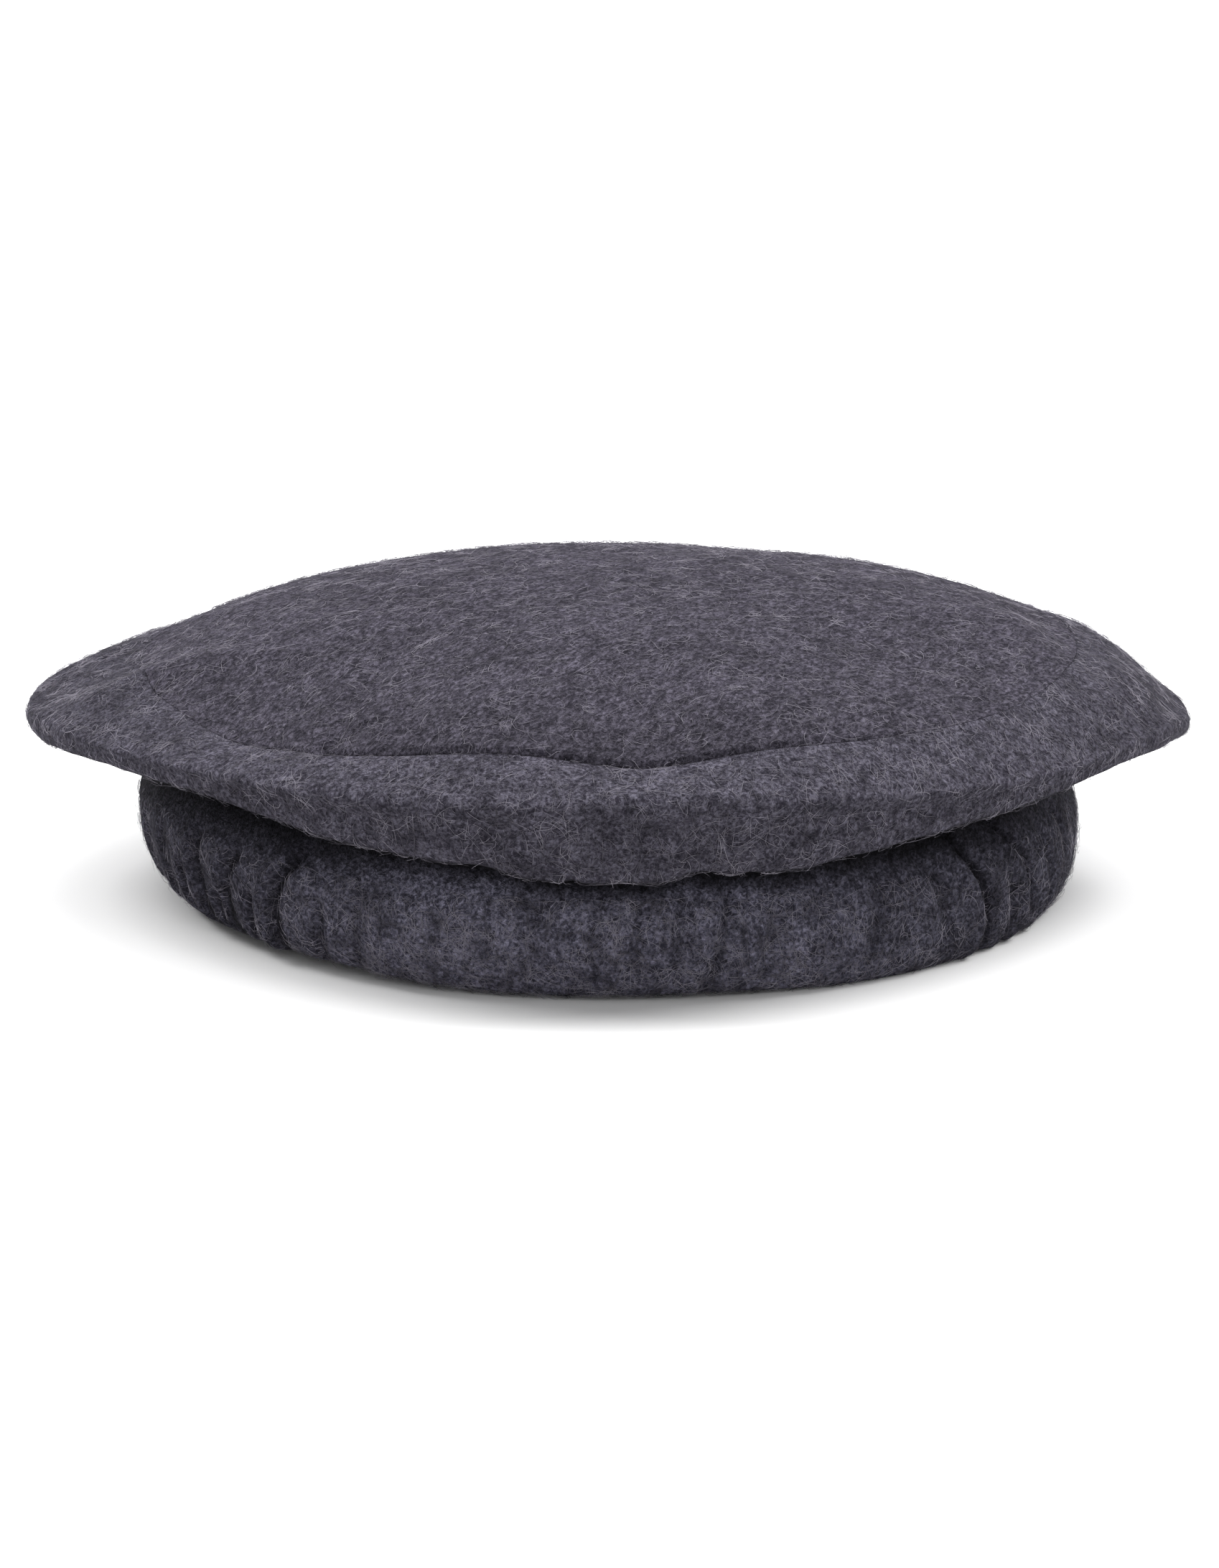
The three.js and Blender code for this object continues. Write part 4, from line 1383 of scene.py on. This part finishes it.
@dataclass(frozen=True)
class HairFinish(Finish):
    """Fine stray wool hair, paler than the felt."""

    name: str = "stray_wool_hair"
    dark: Color = (0.045, 0.041, 0.053)
    pale: Color = (0.26, 0.244, 0.288)

    def look(self, wire: Wiring) -> dict[str, object]:
        """Makes some stretches of hair dark and some pale."""
        place = wire.node("ShaderNodeTexCoord").outputs["Object"]
        shade = wire.ramp(wire.noise(place, scale=160), low=0.35, high=0.65)
        rough = wire.ramp(shade, 0, 1, bottom=0.7, top=0.8)
        color = wire.blend(shade, self.dark, self.pale)
        return {"Base Color": color, "Roughness": rough, "Specular IOR Level": 0.3}


@dataclass(frozen=True)
class FloorFinish(Finish):
    """Plain pale matt floor."""

    name: str = "pale_floor"
    color: Color = (0.88, 0.88, 0.88)

    def look(self, wire: Wiring) -> dict[str, object]:
        """Gives an even colour."""
        return {"Base Color": (*self.color, 1), "Roughness": 0.9}


@dataclass
class Studio:
    """The pale floor, the soft light from above and the camera at the cap's own height."""

    distance: float = 1.4
    elevation: float = 13.75
    aim_height: float = 0.025
    image_height: float = 2184
    focal_pixels: float = 7806
    sensor: float = 36
    shift_right: float = 2
    shift_down: float = -4
    floor_size: float = 14
    floor_below: float = 0.0001
    ambient: float = 0.28

    def camera(self) -> None:
        """Stands the camera in front of the cap, looking slightly down on it."""
        angle = math.radians(self.elevation)
        place = (0, -self.distance * math.cos(angle), self.aim_height + self.distance * math.sin(angle))
        clear_selection()
        bpy.ops.object.camera_add(location=place, rotation=(math.pi / 2 - angle, 0, 0))
        camera = bpy.context.active_object
        camera.name = "front_camera"
        camera.data.sensor_fit = "VERTICAL"
        camera.data.sensor_height = self.sensor
        camera.data.lens = self.focal_pixels / self.image_height * self.sensor
        camera.data.shift_x = self.shift_right / self.image_height
        camera.data.shift_y = self.shift_down / self.image_height
        bpy.context.scene.camera = camera

    def lights(self) -> None:
        """Sets broad soft lights overhead and in front, and a little light from all round."""
        for lamp in LAMPS:
            clear_selection()
            rotation = (math.radians(lamp.tilt), 0, math.radians(lamp.turn))
            bpy.ops.object.light_add(type="SUN", rotation=rotation)
            light = bpy.context.active_object
            light.name = lamp.name
            light.data.energy = lamp.energy
            light.data.angle = math.radians(lamp.spread)
        world = bpy.data.worlds.new("studio_air")
        bpy.context.scene.world = world
        world.use_nodes = True
        wire = Wiring(world.node_tree)
        air = wire.node("ShaderNodeBackground", {"Color": (1, 1, 1, 1), "Strength": self.ambient})
        wire.node("ShaderNodeOutputWorld", {"Surface": air.outputs[0]})
        bpy.context.scene.view_settings.view_transform = "Standard"

    def floor(self) -> None:
        """Lays the floor just under the cap."""
        clear_selection()
        bpy.ops.mesh.primitive_plane_add(size=self.floor_size, location=(0, 0, -self.floor_below))
        floor = bpy.context.active_object
        floor.name = "studio_floor"
        bpy.ops.object.transform_apply(location=True)
        floor.data.materials.append(FloorFinish().material())

    def build(self) -> None:
        """Sets up camera, light and floor."""
        self.camera()
        self.lights()
        self.floor()
        log.info("studio: camera at %.2f m", self.distance)


def main() -> None:
    """Builds the studio, the three pieces of cloth and the stray hair on each."""
    logging.basicConfig(level=logging.INFO, format="%(name)s: %(message)s")
    Studio().build()
    sizes = CapSizes()
    top_felt = FeltFinish("felted_wool_top", nap=Nap.COMBED)
    side_felt = FeltFinish("felted_wool_side", tuft=(0.095, 0.0895, 0.116))
    # paler brim wool: partly its hairier face, partly painted light that brightens the band's front
    brim_wool, brim_tuft = (0.032, 0.031, 0.0455), (0.172, 0.165, 0.222)
    brim_felt = FeltFinish("felted_wool_brim", wool=brim_wool, tuft=brim_tuft, sheen=0.012)
    top = CrownTop(sizes)
    top_face = top.build(top_felt)
    side = CrownSide(sizes, top)
    side_face = side.build(side_felt)
    brim_face = RolledBrim(sizes, side).build(brim_felt)
    hair = HairFinish()
    StrayHair("crown_top_hair", top_face, 5000, seed=11).build(hair)
    StrayHair("crown_side_hair", side_face, 5000, seed=12).build(hair)
    StrayHair("rolled_brim_hair", brim_face, 5000, seed=13, longest=24).build(hair)


if __name__ == "__main__":
    main()
